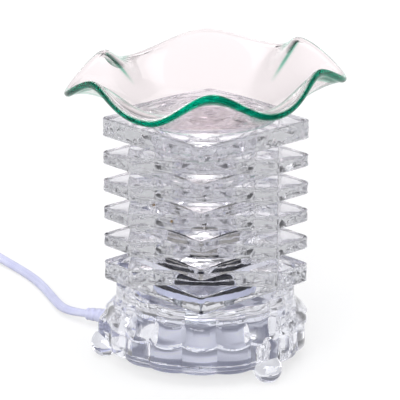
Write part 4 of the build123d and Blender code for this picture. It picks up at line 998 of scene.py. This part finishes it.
for name, (dark, light, grain, roughness, metallic, depth) in solid_finishes.items():
    coat, tree, shader = new_finish(name, {"Roughness": roughness, "Metallic": metallic})
    place = add_node(tree, "ShaderNodeTexCoord")
    cloud = add_node(
        tree,
        "ShaderNodeTexNoise",
        {"Scale": 1 / (grain * MM), "Detail": 4.0},
        {"Vector": place.outputs["Object"]},
    )
    shade = add_node(tree, "ShaderNodeValToRGB", links={"Fac": cloud.outputs["Fac"]})
    for stop, position, colour in zip(shade.color_ramp.elements, (0.3, 0.7), (dark, light)):
        stop.position = position
        stop.color = linear(colour)
    tree.links.new(shade.outputs["Color"], shader.inputs["Base Color"])
    relief = add_node(
        tree, "ShaderNodeBump", {"Strength": 0.4, "Distance": depth * MM}, {"Height": cloud.outputs["Fac"]}
    )
    tree.links.new(relief.outputs["Normal"], shader.inputs["Normal"])
    coats[name] = coat
print("finishes from the table:", len(coats))

# %% Plate enamelled on top only
# Dull blue-black enamel covers the top of the plate up to its rim. Below and round the outside the colour is
# a pale bluish white of painted light, which gives the bright bluish white that is seen through the neck.
plate_enamel_painted_light, tree, shader = new_finish(
    "enamel_and_painted_light_underside", {"Roughness": 0.7, "Specular IOR Level": 0.08}
)
place = add_node(tree, "ShaderNodeTexCoord")
split = add_node(tree, "ShaderNodeSeparateXYZ", links={"Vector": place.outputs["Object"]})
above = add_node(
    tree, "ShaderNodeMapRange", {"From Min": 35.52 * MM, "From Max": 35.6 * MM}, {"Value": split.outputs["Z"]}
)
across = add_node(tree, "ShaderNodeCombineXYZ", links={"X": split.outputs["X"], "Y": split.outputs["Y"]})
reach = add_node(tree, "ShaderNodeVectorMath", links={0: across.outputs["Vector"]}, operation="LENGTH")
within = add_node(
    tree,
    "ShaderNodeMapRange",
    {"From Min": 22.6 * MM, "From Max": 22.5 * MM},
    {"Value": reach.outputs["Value"]},
)
painted = add_node(
    tree,
    "ShaderNodeMath",
    links={0: above.outputs["Result"], 1: within.outputs["Result"]},
    operation="MULTIPLY",
)
# Painted light where the enamel stops: pale bluish white below the plate and round its rim.
shade = add_node(tree, "ShaderNodeValToRGB", links={"Fac": painted.outputs["Value"]})
shade.color_ramp.elements[0].color = linear("#E3E8FF")
shade.color_ramp.elements[1].color = linear("#04071F")
tree.links.new(shade.outputs["Color"], shader.inputs["Base Color"])
# Little light finds its way in through the glass when rendered, so a faint glow makes up for it.
tree.links.new(shade.outputs["Color"], shader.inputs["Emission Color"])
shader.inputs["Emission Strength"].default_value = 0.3
coats["enamelled_plate"] = plate_enamel_painted_light
print("finish:", plate_enamel_painted_light.name)

# %% Cover with moulded ribs and a painted ring of light
# White plastic with nine low ribs. Its colour is painted light and shade: a pale ring of painted light,
# painted shade towards the middle and the outer edge, and darker pockets of painted shade between the ribs.
# Through the base's panels it gives each one its own light and dark.
COVER_RIBS = 9
COVER_REACH = 40.0
# Levels of painted shade and painted light across the cover, the ring's given by radius in mm.
PAINTED_SHADE_LEVEL = 0.3
PAINTED_LIGHT_LEVELS = ((21.0, 0.45), (24.5, 1.0), (30.0, 1.0), (31.5, 0.2))
ribbed_abs_painted_light, tree, shader = new_finish("moulded_white_abs_with_ribs_and_painted_light", {"Roughness": 0.45})
place = add_node(tree, "ShaderNodeTexCoord")
bearing = add_node(
    tree, "ShaderNodeTexGradient", links={"Vector": place.outputs["Object"]}, gradient_type="RADIAL"
)
swing = add_node(
    tree, "ShaderNodeMath", {1: 2 * math.pi * COVER_RIBS}, {0: bearing.outputs["Fac"]}, operation="MULTIPLY"
)
ribs = add_node(tree, "ShaderNodeMath", links={0: swing.outputs["Value"]}, operation="SINE")
split = add_node(tree, "ShaderNodeSeparateXYZ", links={"Vector": place.outputs["Object"]})
across = add_node(tree, "ShaderNodeCombineXYZ", links={"X": split.outputs["X"], "Y": split.outputs["Y"]})
reach = add_node(tree, "ShaderNodeVectorMath", links={0: across.outputs["Vector"]}, operation="LENGTH")
share = add_node(
    tree, "ShaderNodeMapRange", {"From Max": COVER_REACH * MM}, {"Value": reach.outputs["Value"]}
)
ring = add_node(tree, "ShaderNodeValToRGB", links={"Fac": share.outputs["Result"]})
for stop in ring.color_ramp.elements:
    stop.color = (PAINTED_SHADE_LEVEL, PAINTED_SHADE_LEVEL, PAINTED_SHADE_LEVEL, 1.0)
for radius, level in PAINTED_LIGHT_LEVELS:
    ring.color_ramp.elements.new(radius / COVER_REACH).color = (level, level, level, 1.0)
# Darker pockets between the ribs: painted shade.
painted_pocket_shade = add_node(
    tree,
    "ShaderNodeMapRange",
    {"From Min": -1.0, "To Min": 0.6, "To Max": 1.0},
    {"Value": ribs.outputs["Value"]},
)
light = add_node(
    tree,
    "ShaderNodeMath",
    links={0: ring.outputs["Color"], 1: painted_pocket_shade.outputs["Result"]},
    operation="MULTIPLY",
)
shade = add_node(tree, "ShaderNodeValToRGB", links={"Fac": light.outputs["Value"]})
shade.color_ramp.elements[0].color = linear("#6A6D88")
shade.color_ramp.elements[1].color = linear("#F7F8FF")
tree.links.new(shade.outputs["Color"], shader.inputs["Base Color"])
# The same faint glow as on the plate stands for light that comes in through the glass.
tree.links.new(shade.outputs["Color"], shader.inputs["Emission Color"])
shader.inputs["Emission Strength"].default_value = 0.2
relief = add_node(
    tree, "ShaderNodeBump", {"Strength": 0.5, "Distance": 0.6 * MM}, {"Height": ribs.outputs["Value"]}
)
tree.links.new(relief.outputs["Normal"], shader.inputs["Normal"])
coats["ribbed_cover"] = ribbed_abs_painted_light
print("finish:", ribbed_abs_painted_light.name)

# %% Dress the solids
solid_coats = {
    "lampholder_body": "steatite",
    "socket_plate": "enamelled_plate",
    "holder_bracket": "enamelled_plate",
    "threaded_nipple": "zinc_plated_steel",
    "clamp_washer": "zinc_plated_steel",
    "lock_nut": "zinc_plated_steel",
    "holder_screws": "zinc_plated_steel",
    "dimmer_screws": "zinc_plated_steel",
    "lampholder_contacts": "spring_brass",
    "plug_blades": "spring_brass",
    "holder_wires": "glass_fibre_sleeve",
    "lamp_pins": "nickel_pins",
    "lamp_filament": "tungsten_wire",
    "base_cover": "ribbed_cover",
    "dimmer_lower_shell": "moulded_white_abs",
    "dimmer_upper_shell": "moulded_white_abs",
    "dimmer_wheel": "moulded_grey_abs",
    "dimmer_potentiometer": "black_phenolic",
    "dimmer_board": "glass_epoxy_board",
    "plug_body": "moulded_white_pvc",
    "cord_inner": "moulded_white_pvc",
}
for name, coat in solid_coats.items():
    nodes[name].data.materials.clear()
    nodes[name].data.materials.append(coats[coat])
print("dressed", len(solid_coats), "solids")

# %% [markdown]
# ## Cup round the lampholder's foot
# Through the lower tiles the white holder is seen to stand in something black: a pressed cup on the
# bracket's flange. A dark band in the holder's finish could stand for it, but a cup has an edge that
# shows from above too. It is a thin turned ring with rolled edges, in the plate's enamel.

# %% Holder cup
CUP_INSIDE = 9.95
CUP_OUTSIDE = 10.7
cup_profile = [(CUP_INSIDE, 43.0), (CUP_OUTSIDE, 43.0), (CUP_OUTSIDE, 49.6)]
cup_profile += [(10.62, 49.85), (10.42, 50.0), (10.2, 50.0), (10.02, 49.85), (CUP_INSIDE, 49.6)]
cup_mesh = make_mesh("holder_cup", [weave(turn(cup_profile, full_turn(72)), close_rows=True)], crease=40.0)
add_piece("holder_cup", cup_mesh, plate_enamel_painted_light, "tower", "black_enamel")

# %% [markdown]
# ## Light and floor
# Clear glass shows only what is round it, so the light is what makes it readable. The floor is a white
# paper sweep. The room is white at the horizon, grey at half height, so that glass edges have something
# dark to show, and white again overhead. Four soft boxes stand in front, at both sides and behind, and
# give rounded edges their bright lines. The floor looks white to the camera and to the glass, and
# still takes the soft shadow of the warmer.

# %% Floor
FLOOR_HALF = 3.0
FLOOR_DROP = 0.1 * MM
floor_mesh = bpy.data.meshes.new("floor")
floor_corners = np.array([[-1, -1, 0], [1, -1, 0], [1, 1, 0], [-1, 1, 0]]) * FLOOR_HALF
floor_corners[:, 2] = -FLOOR_DROP
floor_mesh.from_pydata(floor_corners.tolist(), [], [[0, 1, 2, 3]])
floor = bpy.data.objects.new("floor", floor_mesh)
scene.collection.objects.link(floor)
print("floor:", 2 * FLOOR_HALF, "m wide")

# %% Paper of the floor
# Matt white paper: it has no shine, and only the shadow shows where it lies.
white_paper, tree, shader = new_finish(
    "white_paper_sweep", {"Base Color": linear("#A2A2A2"), "Roughness": 0.9}
)
path = add_node(tree, "ShaderNodeLightPath")
seen_or_mirrored = add_node(
    tree,
    "ShaderNodeMath",
    links={0: path.outputs["Is Camera Ray"], 1: path.outputs["Is Glossy Ray"]},
    operation="ADD",
)
looked = add_node(
    tree,
    "ShaderNodeMath",
    links={0: seen_or_mirrored.outputs["Value"], 1: path.outputs["Is Transmission Ray"]},
    operation="ADD",
    use_clamp=True,
)
# The lamps fall off with distance, so the paper's glow grows outward and the sweep stays white.
place = add_node(tree, "ShaderNodeTexCoord")
reach = add_node(tree, "ShaderNodeVectorMath", links={0: place.outputs["Object"]}, operation="LENGTH")
outward = add_node(
    tree,
    "ShaderNodeMapRange",
    {"From Min": 0.4, "From Max": 1.6, "To Min": 0.63, "To Max": 0.95},
    {"Value": reach.outputs["Value"]},
)
glow = add_node(
    tree,
    "ShaderNodeMath",
    links={0: looked.outputs["Value"], 1: outward.outputs["Result"]},
    operation="MULTIPLY",
)
shader.inputs["Emission Color"].default_value = (1.0, 1.0, 1.0, 1.0)
tree.links.new(glow.outputs["Value"], shader.inputs["Emission Strength"])
floor_mesh.materials.append(white_paper)
print("finish:", white_paper.name)

# %% Room
world = bpy.data.worlds.new("studio")
scene.world = world
world.use_nodes = True
tree = world.node_tree
place = add_node(tree, "ShaderNodeTexCoord")
split = add_node(tree, "ShaderNodeSeparateXYZ", links={"Vector": place.outputs["Generated"]})
ramp = add_node(tree, "ShaderNodeValToRGB", links={"Fac": split.outputs["Z"]})
ramp.color_ramp.elements[0].position = 0.08
ramp.color_ramp.elements[0].color = (1.0, 1.0, 1.0, 1.0)
ramp.color_ramp.elements[1].position = 0.25
ramp.color_ramp.elements[1].color = (0.55, 0.54, 0.55, 1.0)
# Higher up the room is a trace bluer than grey.
BLUER = 1.03
for position, level in ((0.42, 0.16), (0.7, 0.22), (0.93, 1.7)):
    ramp.color_ramp.elements.new(position).color = (level, level, level * BLUER, 1.0)
background = tree.nodes["Background"]
tree.links.new(ramp.outputs["Color"], background.inputs["Color"])
background.inputs["Strength"].default_value = 1.0
print("room:", len(ramp.color_ramp.elements), "levels from the horizon up")

# %% Soft boxes
# Each box: its place and its width and depth in metres, and its power in watts.
SOFT_BOXES = [
    ("front", (-0.25, -1.05, 0.55), (0.8, 0.45), 8.0),
    ("key", (-0.9, -0.7, 1.1), (1.2, 1.2), 3.0),
    ("fill", (0.9, -0.5, 0.9), (1.1, 1.1), 2.2),
    ("back", (0.1, 0.9, 1.3), (1.2, 1.2), 3.0),
]
LIGHT_AIM = Vector((0, 0, 0.07))
for name, place, (wide, deep), power in SOFT_BOXES:
    lamp = bpy.data.lights.new(name, "AREA")
    lamp.shape = "RECTANGLE"
    lamp.size = wide
    lamp.size_y = deep
    lamp.energy = power
    box = bpy.data.objects.new(name, lamp)
    scene.collection.objects.link(box)
    box.location = place
    box.rotation_euler = (LIGHT_AIM - Vector(place)).to_track_quat("-Z", "Y").to_euler()
scene.view_settings.view_transform = "Standard"
# A look through eleven tiles crosses dozens of faces, so light may bend and bounce that often.
GLASS_BOUNCES = 48
scene.cycles.max_bounces = GLASS_BOUNCES
scene.cycles.glossy_bounces = GLASS_BOUNCES
scene.cycles.transmission_bounces = GLASS_BOUNCES
scene.cycles.transparent_max_bounces = 32
print("light:", len(SOFT_BOXES), "soft boxes")
